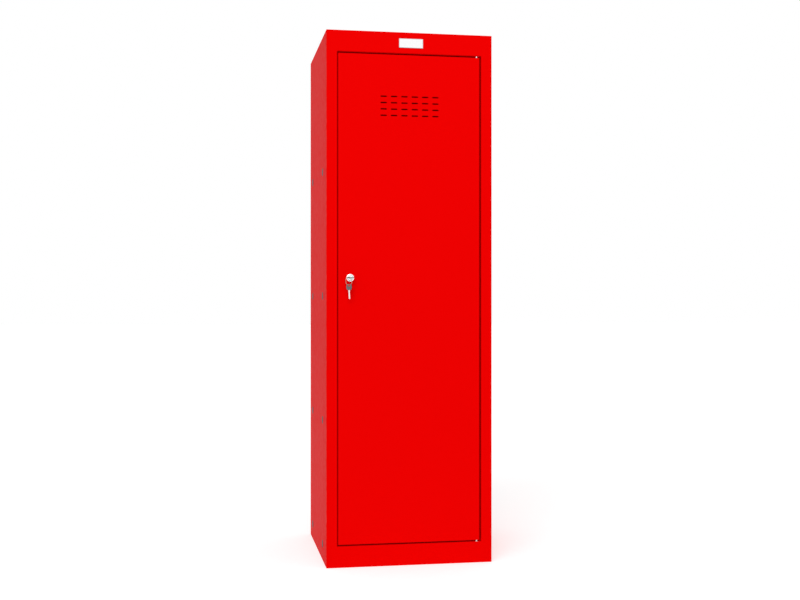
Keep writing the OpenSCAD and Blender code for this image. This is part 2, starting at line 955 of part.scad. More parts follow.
// Key bow outline from the shoulder to -Y: its corners are rounder beside the blade
module bow_outline() {
    translate([-bow_w / 2 + shoulder_r, -bow_l])
        square([bow_w - 2 * shoulder_r, bow_l]);
    translate([-bow_w / 2 + bow_r, -bow_l])
        square([bow_w - 2 * bow_r, bow_l - shoulder_r]);
    translate([-bow_w / 2, -bow_l + bow_r])
        square([bow_w, bow_l - bow_r - shoulder_r]);
    for (side = [-1, 1]) {
        translate([side * (bow_w / 2 - bow_r), -bow_l + bow_r])
            circle(bow_r);
        translate([side * (bow_w / 2 - shoulder_r), -shoulder_r])
            circle(shoulder_r);
    }
}

module bow_eye() {
    translate([0, -bow_l + eye_edge]) {
        square([eye_l - eye_w, eye_w], center = true);
        for (side = [-1, 1])
            translate([side * (eye_l - eye_w) / 2, 0])
                circle(d = eye_w);
    }
}

// Blade outline with a round tip and a row of cuts in one edge
module blade_outline() {
    difference() {
        union() {
            translate([-blade_w / 2, -1])
                square([blade_w, 1 + blade_l - blade_w / 2]);
            translate([0, blade_l - blade_w / 2])
                circle(d = blade_w);
        }
        for (n = [0 : 1 : bite_count - 1])
            translate([blade_w / 2, wafer_first + wafer_t / 2 + n * wafer_pitch])
                rotate(45)
                    square(bite_d * sqrt(2), center = true);
    }
}

// Whole key, flat in the XY plane, centred in thickness
module key() {
    linear_extrude(key_t, center = true) {
        difference() {
            bow_outline();
            bow_eye();
        }
        blade_outline();
    }
}

module lock_key() {
    color("silver")
        translate([lock_x, shoulder_y, lock_z])
            key();
}

// Whatever hangs from the lock's key, leaning about the place where it hangs
module hang() {
    translate([ring_x, eye_y, lock_z + key_t / 2])
        rotate([0, -ring_lean, 0])
            children();
}

// One round end of the ring, a half turn of wire about the origin, bulging to +Z
module ring_end() {
    rotate([90, 0, 0])
        rotate_extrude(angle = 180)
            translate([ring_r, 0])
                circle(d = wire_d, $fn = 24);
}

module key_ring() {
    color("gainsboro")
        hang() {
            translate([0, 0, -ring_hang])
                ring_end();
            translate([0, 0, -ring_drop])
                rotate([0, 180, 0])
                    ring_end();
            for (side = [-1, 1])
                translate([side * ring_r, 0, -ring_drop])
                    cylinder(d = wire_d, h = ring_side, $fn = 24);
        }
}

// Spare key hanging from the ring by its slot, bow up and blade down
module spare_key() {
    color("silver")
        hang()
            translate([0, 0, -spare_eye_drop])
                rotate([0, 0, -spare_turn])
                    rotate([-90, 0, 0])
                        translate([0, bow_l - eye_edge, 0])
                            key();
}

left_side_panel();
right_side_panel();
back_panel();
top_panel();
base_panel();
top_rail();
bottom_rail();
name_plate();
left_side_plugs();
right_side_plugs();
upper_pivot_plate();
lower_pivot_plate();
upper_pivot_bush();
lower_pivot_bush();
door_buffers();
coat_hook();
hook_rivets();
door_panel();
door_stiffener();
upper_door_plate();
lower_door_plate();
upper_hinge_pin();
lower_hinge_pin();
lock_housing();
lock_washer();
lock_nut();
lock_plug();
lock_wafers();
lock_cam();
cam_screw();
lock_key();
key_ring();
spare_key();
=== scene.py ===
# %% [markdown]
# This lesson dresses a tall locker of folded red sheet steel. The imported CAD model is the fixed
# frame, and nothing here moves or resizes it. Each visible part is modelled again with the small
# details of a real one, such as rolled folds, punched slots and stamped keys.

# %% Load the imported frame
import math

import bmesh
import bpy
from bmesh.types import BMEdge, BMVert
from mathutils import Matrix, Vector


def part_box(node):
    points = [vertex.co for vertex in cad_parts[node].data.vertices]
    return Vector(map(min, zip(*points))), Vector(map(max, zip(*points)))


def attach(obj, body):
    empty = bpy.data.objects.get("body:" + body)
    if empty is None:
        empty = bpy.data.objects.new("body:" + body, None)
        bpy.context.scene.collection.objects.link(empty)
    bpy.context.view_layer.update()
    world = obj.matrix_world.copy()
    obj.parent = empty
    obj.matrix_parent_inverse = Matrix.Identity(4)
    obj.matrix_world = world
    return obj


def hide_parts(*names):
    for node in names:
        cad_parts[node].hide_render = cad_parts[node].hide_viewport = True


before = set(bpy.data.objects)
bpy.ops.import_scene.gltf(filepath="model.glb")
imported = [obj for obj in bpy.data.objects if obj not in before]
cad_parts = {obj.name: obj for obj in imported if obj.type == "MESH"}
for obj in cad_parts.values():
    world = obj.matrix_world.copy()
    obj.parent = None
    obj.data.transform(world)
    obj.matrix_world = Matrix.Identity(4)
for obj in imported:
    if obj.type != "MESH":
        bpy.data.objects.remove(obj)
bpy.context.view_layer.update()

# %% [markdown]
# The photograph was taken with a level camera, a little to the left of the locker. Its place and
# focal length were fitted to the edges of the body, which is closer than setting it by eye.

# %% Camera
scene = bpy.context.scene


def add_object(name, data):
    """Makes an object of that data and puts it in the scene."""
    made = bpy.data.objects.new(name, data)
    scene.collection.objects.link(made)
    return made


camera_data = bpy.data.cameras.new("photo_camera")
camera_data.sensor_width = 36
camera_data.lens = 51.057
camera_data.clip_end = 100
camera = add_object("photo_camera", camera_data)
camera.location = (-0.4672, -2.7506, 0.6074)
camera.rotation_euler = (math.radians(90), 0, math.radians(-9.838))
scene.camera = camera
scene.view_settings.view_transform = "Standard"
print("camera", round(camera.location.length, 3), "m from the origin")

# %% [markdown]
# A studio has light from all round and a stronger soft light from one direction. The world gives
# the even part. The camera and mirror-like metal see it as white paper, while matt paint receives a
# plain level of light, so that colours come out as written. Light Path tells these rays apart.

# %% World light
ROOM_LIGHT = 0.53
room = bpy.data.worlds.new("white_room")
room.use_nodes = True
scene.world = room
tree = room.node_tree
background = tree.nodes["Background"]
background.inputs["Color"].default_value = (1, 1, 1, 1)


def seen_rays(tree):
    """1 for rays that show the background itself, and 0 for those that only light."""
    path = tree.nodes.new("ShaderNodeLightPath")
    seen = path.outputs["Is Camera Ray"]
    for other in ("Is Glossy Ray", "Is Transmission Ray"):
        either = tree.nodes.new("ShaderNodeMath")
        either.operation = "MAXIMUM"
        tree.links.new(seen, either.inputs[0])
        tree.links.new(path.outputs[other], either.inputs[1])
        seen = either.outputs[0]
    return seen


level = tree.nodes.new("ShaderNodeMapRange")
level.inputs["To Min"].default_value = ROOM_LIGHT
level.inputs["To Max"].default_value = 1
tree.links.new(seen_rays(tree), level.inputs["Value"])
tree.links.new(level.outputs["Result"], background.inputs["Strength"])
print("world light", ROOM_LIGHT)

# %% [markdown]
# The stronger light comes from in front of the locker and a little above, so the front is brightest
# and the left side about a quarter darker. A sun lamp with a wide angle lights the top and the foot
# alike, as a large soft box far away would. A weak area lamp above the front lets the brightness
# fall slightly towards the foot.

# %% Lamps
sun_data = bpy.data.lights.new("soft_front", "SUN")
sun_data.energy = 1.2
sun_data.angle = math.radians(50)
sun = add_object("soft_front", sun_data)
sun.rotation_euler = Vector((-0.40, -1.0, 0.70)).to_track_quat("Z", "Y").to_euler()

top_data = bpy.data.lights.new("top_front", "AREA")
top_data.shape = "RECTANGLE"
top_data.size = 1.6
top_data.size_y = 0.8
top_data.energy = 8
top_lamp = add_object("top_front", top_data)
top_lamp.location = (-0.3, -1.9, 2.3)
top_lamp.rotation_euler = Vector((-0.3, -1.9, 1.2)).to_track_quat("Z", "Y").to_euler()
print("lamps:", sun.name, top_lamp.name)

# %% [markdown]
# A finish is a small graph of nodes. Each starts from Object coordinates, in metres, so its grain
# keeps its real size on every piece, and noise then varies the colour, the roughness and the
# surface.

# %% Helpers for finishes
def new_finish(name, **values):
    """A material. Shader sockets that are the same all over are set by their names."""
    finish = bpy.data.materials.new(name)
    finish.use_nodes = True
    shader = finish.node_tree.nodes["Principled BSDF"]
    for socket, value in values.items():
        shader.inputs[socket.replace("_", " ")].default_value = value
    return finish


def add_node(finish, kind, inputs=None, **settings):
    node = finish.node_tree.nodes.new(kind)
    for key, value in settings.items():
        setattr(node, key, value)
    for socket, value in (inputs or {}).items():
        if isinstance(value, bpy.types.NodeSocket):
            finish.node_tree.links.new(value, node.inputs[socket])
        else:
            node.inputs[socket].default_value = value
    return node


def place_in(finish, centre=(0, 0, 0), stretch=(1, 1, 1)):
    """Object coordinates measured from a centre, in metres."""
    place = add_node(finish, "ShaderNodeTexCoord").outputs["Object"]
    inputs = {"Vector": place, "Location": centre, "Scale": stretch}
    mapping = add_node(finish, "ShaderNodeMapping", inputs, vector_type="TEXTURE")
    return mapping.outputs["Vector"]


def noise(finish, place, scale, detail=2.0):
    inputs = {"Vector": place, "Scale": scale, "Detail": detail}
    return add_node(finish, "ShaderNodeTexNoise", inputs).outputs["Fac"]


NOISE_RANGE = (0.3, 0.7)


def spread(finish, factor, low, high):
    """Noise becomes a value between two bounds."""
    names = ("Value", "From Min", "From Max", "To Min", "To Max")
    inputs = dict(zip(names, (factor, *NOISE_RANGE, low, high)))
    return add_node(finish, "ShaderNodeMapRange", inputs).outputs["Result"]


def tint(finish, factor, first, second):
    """Noise becomes a colour between two close ones."""
    ramp = add_node(finish, "ShaderNodeValToRGB", {"Fac": factor})
    for stop, place, colour in zip(ramp.color_ramp.elements, NOISE_RANGE, (first, second)):
        stop.position = place
        stop.color = (*colour, 1)
    return ramp.outputs["Color"]


# %% [markdown]
# In most finishes the grain is rougher and higher where it is lighter, so one noise can drive all
# three. One function makes them, and a few have a second noise for the roughness alone.

# %% Putting a finish together
FINE_BUMP = 0.00001
SOFT_BUMP = 0.00002


def dress(finish, colour, height, depth, roughness=None):
    """Joins a colour, a bump of that depth in metres and a roughness to the shader."""
    shader = finish.node_tree.nodes["Principled BSDF"]
    links = finish.node_tree.links
    links.new(colour, shader.inputs["Base Color"])
    if roughness is not None:
        links.new(roughness, shader.inputs["Roughness"])
    bump = add_node(finish, "ShaderNodeBump", {"Height": height, "Distance": depth})
    links.new(bump.outputs["Normal"], shader.inputs["Normal"])
    print("finish", finish.name)


def grained(
    name, grain, colours, roughness, depth=FINE_BUMP, patches=None, stretch=(1, 1, 1), **values
):
    """A finish from a grain (scale, detail), two colours and two bounds of its roughness."""
    finish = new_finish(name, **values)
    place = place_in(finish, stretch=stretch)
    height = noise(finish, place, *grain)
    colour = tint(finish, height, *colours)
    worn = noise(finish, place, patches) if patches else height
    dress(finish, colour, height, depth, spread(finish, worn, *roughness))
    return finish


# %% [markdown]
# The locker is powder coated: dry paint is baked on and flows into a smooth film with a faint
# orange peel. One flat red would look like plastic, so two close reds drift over the sheet, and the
# peel is a bump with a grain of 1.5 mm. The film reflects little from the front and more at a
# glancing angle, which a low index of refraction gives.

# %% Red powder coating
red_paint = new_finish("red_paint", IOR=1.044)
paint_place = place_in(red_paint)
paint_drift = noise(red_paint, paint_place, 2.5, 3)
paint_peel = noise(red_paint, paint_place, 650, 2)
dress(
    red_paint,
    tint(red_paint, paint_drift, (0.835, 0.0002, 0.0001), (0.85, 0.0002, 0.0001)),
    height=paint_peel,
    depth=0.00004,
    roughness=spread(red_paint, noise(red_paint, paint_place, 90), 0.40, 0.48),
)

# %% [markdown]
# Brackets, the cam and the nut are zinc plated. Fresh zinc is bright grey with a soft mottle from
# the plating bath. One noise makes the mottle, and the roughness has smaller patches of its own, so
# that they show in reflections and not as painted spots.

# %% Zinc plate
zinc_greys = ((0.50, 0.51, 0.53), (0.66, 0.67, 0.68))
zinc_steel = grained(
    "zinc_steel", (260, 4), zinc_greys, (0.28, 0.42), SOFT_BUMP, patches=900, Metallic=1.0
)

# %% [markdown]
# The hinge pins are turned from bright steel bar, and the tool leaves very fine rings round it. A
# noise that is squeezed along the bar's axis gives such lines without any image.

# %% Bright steel
SQUEEZED = (1, 1, 0.05)
steel_greys = ((0.72, 0.72, 0.72), (0.82, 0.82, 0.81))
bright_steel = grained(
    "bright_steel", (700, 3), steel_greys, (0.16, 0.28), stretch=SQUEEZED, Metallic=1.0
)

# %% [markdown]
# The lock's face is turned, polished and chrome plated, so very faint rings lie round its centre. A
# Wave texture in ring mode makes them, and Mapping puts their centre on the lock's axis.

# %% Lock chrome
MM = 0.001
LOCK_X = -138.4
LOCK_Z = 657.8
lock_chrome = new_finish("lock_chrome", Metallic=1.0)
chrome_place = place_in(lock_chrome, (LOCK_X * MM, 0, LOCK_Z * MM))
waves = {"Vector": chrome_place, "Scale": 900, "Distortion": 0.4}
rings = {"wave_type": "RINGS", "rings_direction": "Y"}
chrome_rings = add_node(lock_chrome, "ShaderNodeTexWave", waves, **rings).outputs["Fac"]
chrome_cloud = noise(lock_chrome, chrome_place, 300)
dress(
    lock_chrome,
    tint(lock_chrome, chrome_cloud, (0.93, 0.94, 0.95), (0.98, 0.98, 0.98)),
    height=chrome_rings,
    depth=0.000006,
    roughness=spread(lock_chrome, chrome_rings, 0.10, 0.17),
)

# %% [markdown]
# The keys are stamped from nickel silver. Their bows are tumbled and look a dull grey, and the
# blades are milled and stay bright. Two finishes of the same metal show this: one rough and dark,
# the other bright with a very fine grain.

# %% Key metal
bow_greys = ((0.11, 0.125, 0.13), (0.18, 0.195, 0.20))
key_bow_metal = grained(
    "key_bow_metal", (1400, 4), bow_greys, (0.34, 0.46), SOFT_BUMP, patches=500, Metallic=1.0
)
blade_greys = ((0.80, 0.79, 0.76), (0.90, 0.89, 0.86))
key_blade_metal = grained("key_blade_metal", (2200, 3), blade_greys, (0.22, 0.34), Metallic=1.0)

# %% [markdown]
# The ring is spring wire with a thin nickel coat, given a warm grey that is darker than the other
# metals. A brighter metal would outshine the key that hangs from it, so the wire has its own finish,
# with the same fine lines as the pins.

# %% Ring wire
# The wire is simply a darker warm grey than the other metals.
wire_browns = ((0.30, 0.26, 0.20), (0.40, 0.35, 0.28))
dark_ring_wire = grained(
    "dark_ring_wire", (900, 3), wire_browns, (0.22, 0.34), stretch=SQUEEZED, Metallic=1.0
)

# %% [markdown]
# The wafers are stamped brass, the bushes white nylon, the buffers black rubber and the plugs grey
# moulded plastic. Each has its own grain: brass a fine scratch, nylon a waxy surface, rubber a dull
# skin, and plastic the fine texture of its mould.

# %% Brass, nylon, rubber and grey plastic
brass_golds = ((0.66, 0.47, 0.17), (0.78, 0.58, 0.24))
wafer_brass = grained("wafer_brass", (1600, 3), brass_golds, (0.25, 0.4), Metallic=1.0)
nylon_whites = ((0.62, 0.62, 0.59), (0.70, 0.70, 0.67))
waxy = {"Subsurface_Weight": 0.15, "Subsurface_Scale": 0.001}
white_nylon = grained("white_nylon", (500, 2), nylon_whites, (0.38, 0.5), **waxy)
rubber_blacks = ((0.012, 0.012, 0.013), (0.022, 0.022, 0.023))
black_rubber = grained("black_rubber", (1100, 3), rubber_blacks, (0.6, 0.75), 0.00003, IOR=1.4)
plastic_greys = ((0.064, 0.06, 0.06), (0.078, 0.074, 0.074))
grey_plastic = grained("grey_plastic", (1500, 2), plastic_greys, (0.42, 0.55), SOFT_BUMP, IOR=1.3)

# %% [markdown]
# The small blank plate on the top rail is thin metal with a white enamel face and a grey edge line.
# The enamel is smooth and very slightly cloudy.

# %% White enamel and its grey edge
enamel_whites = ((0.90, 0.915, 0.92), (0.935, 0.94, 0.94))
white_enamel = grained("white_enamel", (120, 3), enamel_whites, (0.22, 0.32), IOR=1.3)
edge_greys = ((0.36, 0.38, 0.40), (0.44, 0.46, 0.48))
grey_enamel = grained("grey_enamel", (400, 3), edge_greys, (0.3, 0.4), IOR=1.3)

# %% [markdown]
# Sheet metal is modelled as it is made: a flat blank is cut to size, its holes are punched, and its
# edges are folded. All is drawn in millimetres and scaled to metres at the end.

# %% Flat outlines
def at(x, y, z):
    return Matrix.Translation((x, y, z))


def turned(degrees, axis):
    return Matrix.Rotation(math.radians(degrees), 4, axis)


def move(bm, matrix):
    bmesh.ops.transform(bm, matrix=matrix, verts=bm.verts)


FACING_FRONT = turned(90, "X")
FACING_BACK = turned(180, "Z") @ FACING_FRONT
FACING_LEFT = turned(-90, "Z") @ FACING_FRONT


def merge_doubles(bm, reach):
    bmesh.ops.remove_doubles(bm, verts=bm.verts, dist=reach)


def round_off(bm, parts, affect, width, steps, clamp=False):
    bmesh.ops.bevel(
        bm,
        geom=parts,
        offset=width,
        offset_type="OFFSET",
        segments=steps,
        profile=0.5,
        affect=affect,
        clamp_overlap=clamp,
        material=-1,
    )


def round_corners(bm, corners, radius, steps=6):
    round_off(bm, corners, "VERTICES", radius, steps)


def add_plate(bm, width, height, centre=(0, 0), corner=0.0, steps=5):
    """A flat rectangle in XY, with rounded corners if a corner radius is given."""
    made = bmesh.ops.create_grid(bm, x_segments=1, y_segments=1, size=0.5)["verts"]
    bmesh.ops.scale(bm, vec=(width, height, 1), verts=made)
    bmesh.ops.translate(bm, vec=(*centre, 0), verts=made)
    if corner:
        round_corners(bm, made, corner, steps)


def add_round(bm, diameter, centre=(0, 0), steps=32):
    bmesh.ops.create_circle(bm, radius=diameter / 2, segments=steps, matrix=at(*centre, 0))


def fill_between(bm, covers=None):
    """Outlines become one sheet: the outer one is its edge, and the covers' edges are holes."""
    bmesh.ops.delete(bm, geom=covers or bm.faces[:], context="FACES_ONLY")
    bmesh.ops.triangle_fill(bm, use_beauty=True, use_dissolve=False, edges=bm.edges[:])


# %% [markdown]
# The blank is drawn in rectangular cells, with each hole in a cell of its own. One fill between all
# the outlines would be shorter, but it leaves long thin triangles from the holes to the corners,
# and these show as streaks in the light.

# %% Cutting a blank in cells
def copy_into(target, source, place=Matrix()):
    """Adds a placed copy of one drawing to another, and keeps its material numbers."""
    mesh = bpy.data.meshes.new("copy")
    source.to_mesh(mesh)
    mesh.transform(place)
    target.from_mesh(mesh)
    bpy.data.meshes.remove(mesh)


def lines_round(lines, places, reach):
    """Adds a pair of lines round each place, for a cell with a hole."""
    return sorted([*lines, *[place + side * reach for place in places for side in (-1, 1)]])


def add_cells(bm, lines_x, lines_y, holes):
    """A flat blank of cells between two sets of lines. A hole is drawn by its function."""
    for low_x, high_x in zip(lines_x, lines_x[1:]):
        for low_y, high_y in zip(lines_y, lines_y[1:]):
            cell = bmesh.new()
            corners = ((low_x, low_y), (high_x, low_y), (high_x, high_y), (low_x, high_y))
            cell.faces.new([cell.verts.new((*corner, 0)) for corner in corners])
            for (x, y), punch in holes.items():
                if low_x < x < high_x and low_y < y < high_y:
                    punch(cell, (x, y))
                    fill_between(cell)
            copy_into(bm, cell)
            cell.free()
    merge_doubles(bm, 0.001)


def drill(diameter, steps=32):
    return lambda cell, centre: add_round(cell, diameter, centre, steps)


# %% [markdown]
# A press brake bends one edge at a time. Here a row of open edges is extruded in steps round the
# bend. A bevel on a box could round the corner too, but a row can also stop short, turn back or
# leave a corner open, as real folds do.

# %% Folding the edges of a blank
def close_to(value, target):
    return abs(value - target) < 0.01


def edge_row(bm, axis, place):
    """The open edges whose two ends both lie at a place along an axis."""
    edges = [e for e in bm.edges if len(e.link_faces) == 1]
    return [e for e in edges if all(close_to(getattr(v.co, axis), place) for v in e.verts)]


def pick(kind, parts):
    return [part for part in parts if isinstance(part, kind)]


def extrude_row(bm, row):
    """Extrudes a row of edges in place, and returns the new vertices and the new row."""
    made = bmesh.ops.extrude_edge_only(bm, edges=row)["geom"]
    verts = pick(BMVert, made)
    return verts, [e for e in pick(BMEdge, made) if all(v in verts for v in e.verts)]


def run_sheet(bm, row, step):
    """Extrudes a row of edges by one straight step, and returns the new row."""
    verts, row = extrude_row(bm, row)
    bmesh.ops.translate(bm, vec=step, verts=verts)
    return row


def fold_sheet(bm, row, ahead, aside, radius, flat, steps=4):
    """Bends a row through a quarter turn, and runs it on by a flat stretch the new way."""
    for number in range(steps):
        start = math.radians(90) * number / steps
        end = math.radians(90) * (number + 1) / steps
        step = Vector(ahead) * (math.sin(end) - math.sin(start)) * radius
        step += Vector(aside) * (math.cos(start) - math.cos(end)) * radius
        row = run_sheet(bm, row, step)
    return run_sheet(bm, row, Vector(aside) * flat)


# %% [markdown]
# A drawing becomes a mesh in the same way each time. Doubles are merged, faces are turned outwards,
# it is scaled to metres, and the open edges of a sheet and its steep bends are marked sharp.

# %% Writing a mesh
SHARP_ANGLE = math.radians(34)
OPEN_EDGE = math.pi


def widest_face(bm):
    return max(bm.faces, key=lambda face: face.calc_area())


def write_mesh(name, bm, outward, merge):
    """Turns a drawing in millimetres into a clean mesh in metres."""
    merge_doubles(bm, merge)
    bmesh.ops.recalc_face_normals(bm, faces=bm.faces)
    if outward and widest_face(bm).normal.dot(Vector(outward)) < 0:
        bmesh.ops.reverse_faces(bm, faces=bm.faces)
    bmesh.ops.scale(bm, vec=(MM, MM, MM), verts=bm.verts)
    bm.normal_update()
    for face in bm.faces:
        face.smooth = True
    for edge in bm.edges:
        edge.smooth = edge.calc_face_angle(OPEN_EDGE) < SHARP_ANGLE
    mesh = bpy.data.meshes.new(name)
    bm.to_mesh(mesh)
    bm.free()
    return mesh


# %% [markdown]
# A piece rides on its body, takes its material slot and stands for its CAD node, whose name follows
# the first word of its own. Thickness and soft edges come last, as modifiers, because a folded
# blank is easier to change than a finished sheet. Solidify gives the wall, Bevel rounds raw edges
# as paint does, and Weighted Normal keeps large flats looking flat.

# %% Finishing a piece
SHEET = 1.0


def add_modifier(piece, name, kind, **settings):
    modifier = piece.modifiers.new(name, kind)
    for key, value in settings.items():
        setattr(modifier, key, value)


def make_piece(name, bm, finishes, body, place=None, outward=None, rim=0, merge=0.001):
    """Finishes a drawing. Sheet has an outward direction, and a rim is a raw edge's rounding."""
    if place:
        move(bm, place)
    piece = add_object(name, write_mesh(name, bm, outward, merge))
    for finish in finishes:
        piece.data.materials.append(finish)
    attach(piece, body)
    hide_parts(name.partition("_")[2])
    if outward:
        wall = {"thickness": SHEET * MM, "offset": -1, "use_even_offset": True}
        add_modifier(piece, "sheet_thickness", "SOLIDIFY", **wall)
    if rim:
        soft = {"width": rim * MM, "segments": 2, "limit_method": "ANGLE"}
        add_modifier(piece, "soft_rim", "BEVEL", angle_limit=math.radians(50), **soft)
    add_modifier(piece, "even_shading", "WEIGHTED_NORMAL", keep_sharp=True, weight=100)
    print(name, len(piece.data.polygons), "faces")


# %% [markdown]
# A side of the carcass is one sheet: a tall skin with two columns of punched holes, a front stile
# that is turned in, and beside the door a return that stiffens it. On the lock side it ends in a
# strike for the cam, and on the hinge side in a lip turned away from the door. Boxes would be
# quicker, but folding a blank gives the real rolled edges. Both sides are folded as left ones, and
# the right one is then mirrored.

# %% Side panels
FRONT = -192.5
BACK = 192.5
LEFT = -192.5
TALL = 1220
FOLD = 2.0
OPEN_LOW = 48
OPEN_HIGH = 1172
STILE_DEEP = 22
STRIKE = 11
SIDE_LIP = 10
REAR_LIP = 13
LINK_HOLE = 15
LINK_HOLE_Y = (-110.0, 126.9)
LINK_HOLE_Z = [38.6 + 289 * row for row in range(4)]


def side_panel(name, stile, lock_side):
    bm = bmesh.new()
    half_flat = BACK - FOLD
    lines_across = lines_round((-half_flat, half_flat), [-y for y in LINK_HOLE_Y], LINK_HOLE)
    lines_up = lines_round((0, OPEN_LOW, OPEN_HIGH, TALL), LINK_HOLE_Z, LINK_HOLE)
    holes = {(-y, z): drill(LINK_HOLE, 40) for y in LINK_HOLE_Y for z in LINK_HOLE_Z}
    add_cells(bm, lines_across, lines_up, holes)
    move(bm, at(LEFT, 0, 0) @ FACING_LEFT)
    row = edge_row(bm, "y", FRONT + FOLD)
    row = fold_sheet(bm, row, (0, -1, 0), (1, 0, 0), FOLD, stile - 2 * FOLD)
    beside = [e for e in row if all(OPEN_LOW - 0.1 < v.co.z < OPEN_HIGH + 0.1 for v in e.verts)]
    ends = [e for e in row if e not in beside]
    run_sheet(bm, ends, (FOLD, 0, 0))
    row = fold_sheet(bm, beside, (1, 0, 0), (0, 1, 0), FOLD, STILE_DEEP - 2 * FOLD)
    if lock_side:
        fold_sheet(bm, row, (0, 1, 0), (1, 0, 0), FOLD - SHEET, STRIKE)
    else:
        fold_sheet(bm, row, (0, 1, 0), (-1, 0, 0), FOLD, SIDE_LIP)
    fold_sheet(bm, edge_row(bm, "y", BACK - FOLD), (0, 1, 0), (1, 0, 0), FOLD, REAR_LIP)
    if not lock_side:
        move(bm, Matrix.Diagonal((-1, 1, 1, 1)))
    outward = (-1 if lock_side else 1, 0, 0)
    make_piece(name, bm, [red_paint], "carcass", outward=outward)


side_panel("skin_left_side_panel", stile=25, lock_side=True)
side_panel("skin_right_side_panel", stile=25.2, lock_side=False)

# %% [markdown]
# The two rails join the stiles above and below the door. Each is a U in section: a face, a return
# behind it with the hole for a hinge bush, and a lip. The return has the hole, so it is the blank,
# and the face and the lip are folded up from its long edges. The lower rail is the upper one turned
# over.

# %% Rails
PIN_X = 157.5
PIN_Y = -186.0
OPEN_LEFT = -167.5
OPEN_RIGHT = 167.3
RAIL_DEEP = 20
RAIL_LIP = 16
BUSH_HOLE = 8.2
BUSH_CELL = 10


def turn_over(bm):
    """Mirrors a drawing between the top of the body and its foot."""
    move(bm, at(0, 0, TALL) @ Matrix.Diagonal((1, 1, -1, 1)))


def rail(name, upside_down):
    bm = bmesh.new()
    lines_across = (OPEN_LEFT, PIN_X - BUSH_CELL, OPEN_RIGHT)
    lines_deep = (FRONT + FOLD, FRONT + RAIL_DEEP - FOLD)
    add_cells(bm, lines_across, lines_deep, {(PIN_X, PIN_Y): drill(BUSH_HOLE)})
    move(bm, at(0, 0, OPEN_HIGH))
    row = edge_row(bm, "y", FRONT + FOLD)
    fold_sheet(bm, row, (0, -1, 0), (0, 0, 1), FOLD, TALL - OPEN_HIGH - FOLD)
    row = edge_row(bm, "y", FRONT + RAIL_DEEP - FOLD)
    fold_sheet(bm, row, (0, 1, 0), (0, 0, 1), FOLD, RAIL_LIP - FOLD)
    if upside_down:
        turn_over(bm)
    make_piece(name, bm, [red_paint], "carcass", outward=(0, -1, 0))


rail("skin_top_rail", upside_down=False)
rail("skin_bottom_rail", upside_down=True)

# %% [markdown]
# The top and the base are shallow trays, and the base has four holes for floor bolts. Their corners
# are cut off before the edges are turned, as on real trays. Each edge is folded as its own row, so
# that the corner stays open.

# %% Top and base
TRAY_HALF_X = 191.5
TRAY_FRONT = -191.5
TRAY_BACK = 190.5
TRAY_FOLD = 1.5
LAP = 15
NOTCH = 3
BOLT_HOLE = 9
BOLT_CELL = 12
TRAY_RIM = 0.2


def tray(name, holes, top):
    bm = bmesh.new()
    inner_x = TRAY_HALF_X - TRAY_FOLD
    inner_front = TRAY_FRONT + TRAY_FOLD
    inner_back = TRAY_BACK - TRAY_FOLD
    lines_across = lines_round((-inner_x, inner_x), {x for x, y in holes}, BOLT_CELL)
    lines_deep = lines_round((inner_front, inner_back), {y for x, y in holes}, BOLT_CELL)
    add_cells(bm, lines_across, lines_deep, {place: drill(BOLT_HOLE) for place in holes})
    round_corners(bm, [v for v in bm.verts if len(v.link_edges) == 2], NOTCH, 1)
    sides = (
        ("x", inner_x, (1, 0, 0)),
        ("x", -inner_x, (-1, 0, 0)),
        ("y", inner_front, (0, -1, 0)),
        ("y", inner_back, (0, 1, 0)),
    )
    for axis, edge, ahead in sides:
        row = edge_row(bm, axis, edge)
        fold_sheet(bm, row, ahead, (0, 0, 1), TRAY_FOLD, LAP - TRAY_FOLD)
    if top:
        turn_over(bm)
    outward = (0, 0, 1) if top else (0, 0, -1)
    make_piece(name, bm, [red_paint], "carcass", outward=outward, rim=TRAY_RIM)


floor_holes = [(x, y) for x in (-150, 150) for y in (-145, 145)]
tray("skin_top_panel", [], top=True)
tray("skin_base_panel", floor_holes, top=False)

# %% [markdown]
# The back is one flat sheet inside the rear edges of the sides, with four wall holes and two for
# the coat hook's rivets.

# %% Back panel
BACK_HALF = 190.5
WALL_X = (-125, 125)
WALL_Z = (160, 1060)
HOOK_Z = 1160
RIVET_X = (-9, 9)
RIVET_HOLE = 4.2
RIVET_CELLS = (-18, 0, 18)
back_bm = bmesh.new()
back_holes = {(x, z): drill(BOLT_HOLE) for x in WALL_X for z in WALL_Z}
back_holes.update({(x, HOOK_Z): drill(RIVET_HOLE, 24) for x in RIVET_X})
back_lines_across = lines_round((-BACK_HALF, *RIVET_CELLS, BACK_HALF), WALL_X, BOLT_CELL)
back_lines_up = lines_round((0, TALL), (*WALL_Z, HOOK_Z), BOLT_CELL)
add_cells(back_bm, back_lines_across, back_lines_up, back_holes)
move(back_bm, at(0, BACK - SHEET, 0) @ FACING_BACK)
make_piece(
    "skin_back_panel", back_bm, [red_paint], "carcass", outward=(0, 1, 0), rim=TRAY_RIM
)

# %% [markdown]
# The door is a pan: a flat front with four rows of vent slots and the hole for the lock, its edges
# rolled back and a lip turned in behind. A bevelled cube would not give the wall of one millimetre
# that shows in the slots, so the door starts as a flat blank too.

# %% Door blank
DOOR_LEFT = -165.7
DOOR_RIGHT = 163.5
DOOR_LOW = 51.4
DOOR_HIGH = 1168.4
DOOR_DEEP = 17
DOOR_ROUND = 1.5
DOOR_LIP = 12
DOOR_RIM = 0.18
DOOR_WIDE = DOOR_RIGHT - DOOR_LEFT
DOOR_TALL = DOOR_HIGH - DOOR_LOW
DOOR_X = (DOOR_LEFT + DOOR_RIGHT) / 2
DOOR_Z = (DOOR_LOW + DOOR_HIGH) / 2
VENT_TOP = 1072.7
VENT_PITCH_X = 24.1
VENT_PITCH_Z = 14.5
VENT_SIZE = (14.6, 2.8)
VENT_ROUND = 1.38
LOCK_HOLE = 16.2
LOCK_FLATS = 14.2
LOCK_CELL = 12


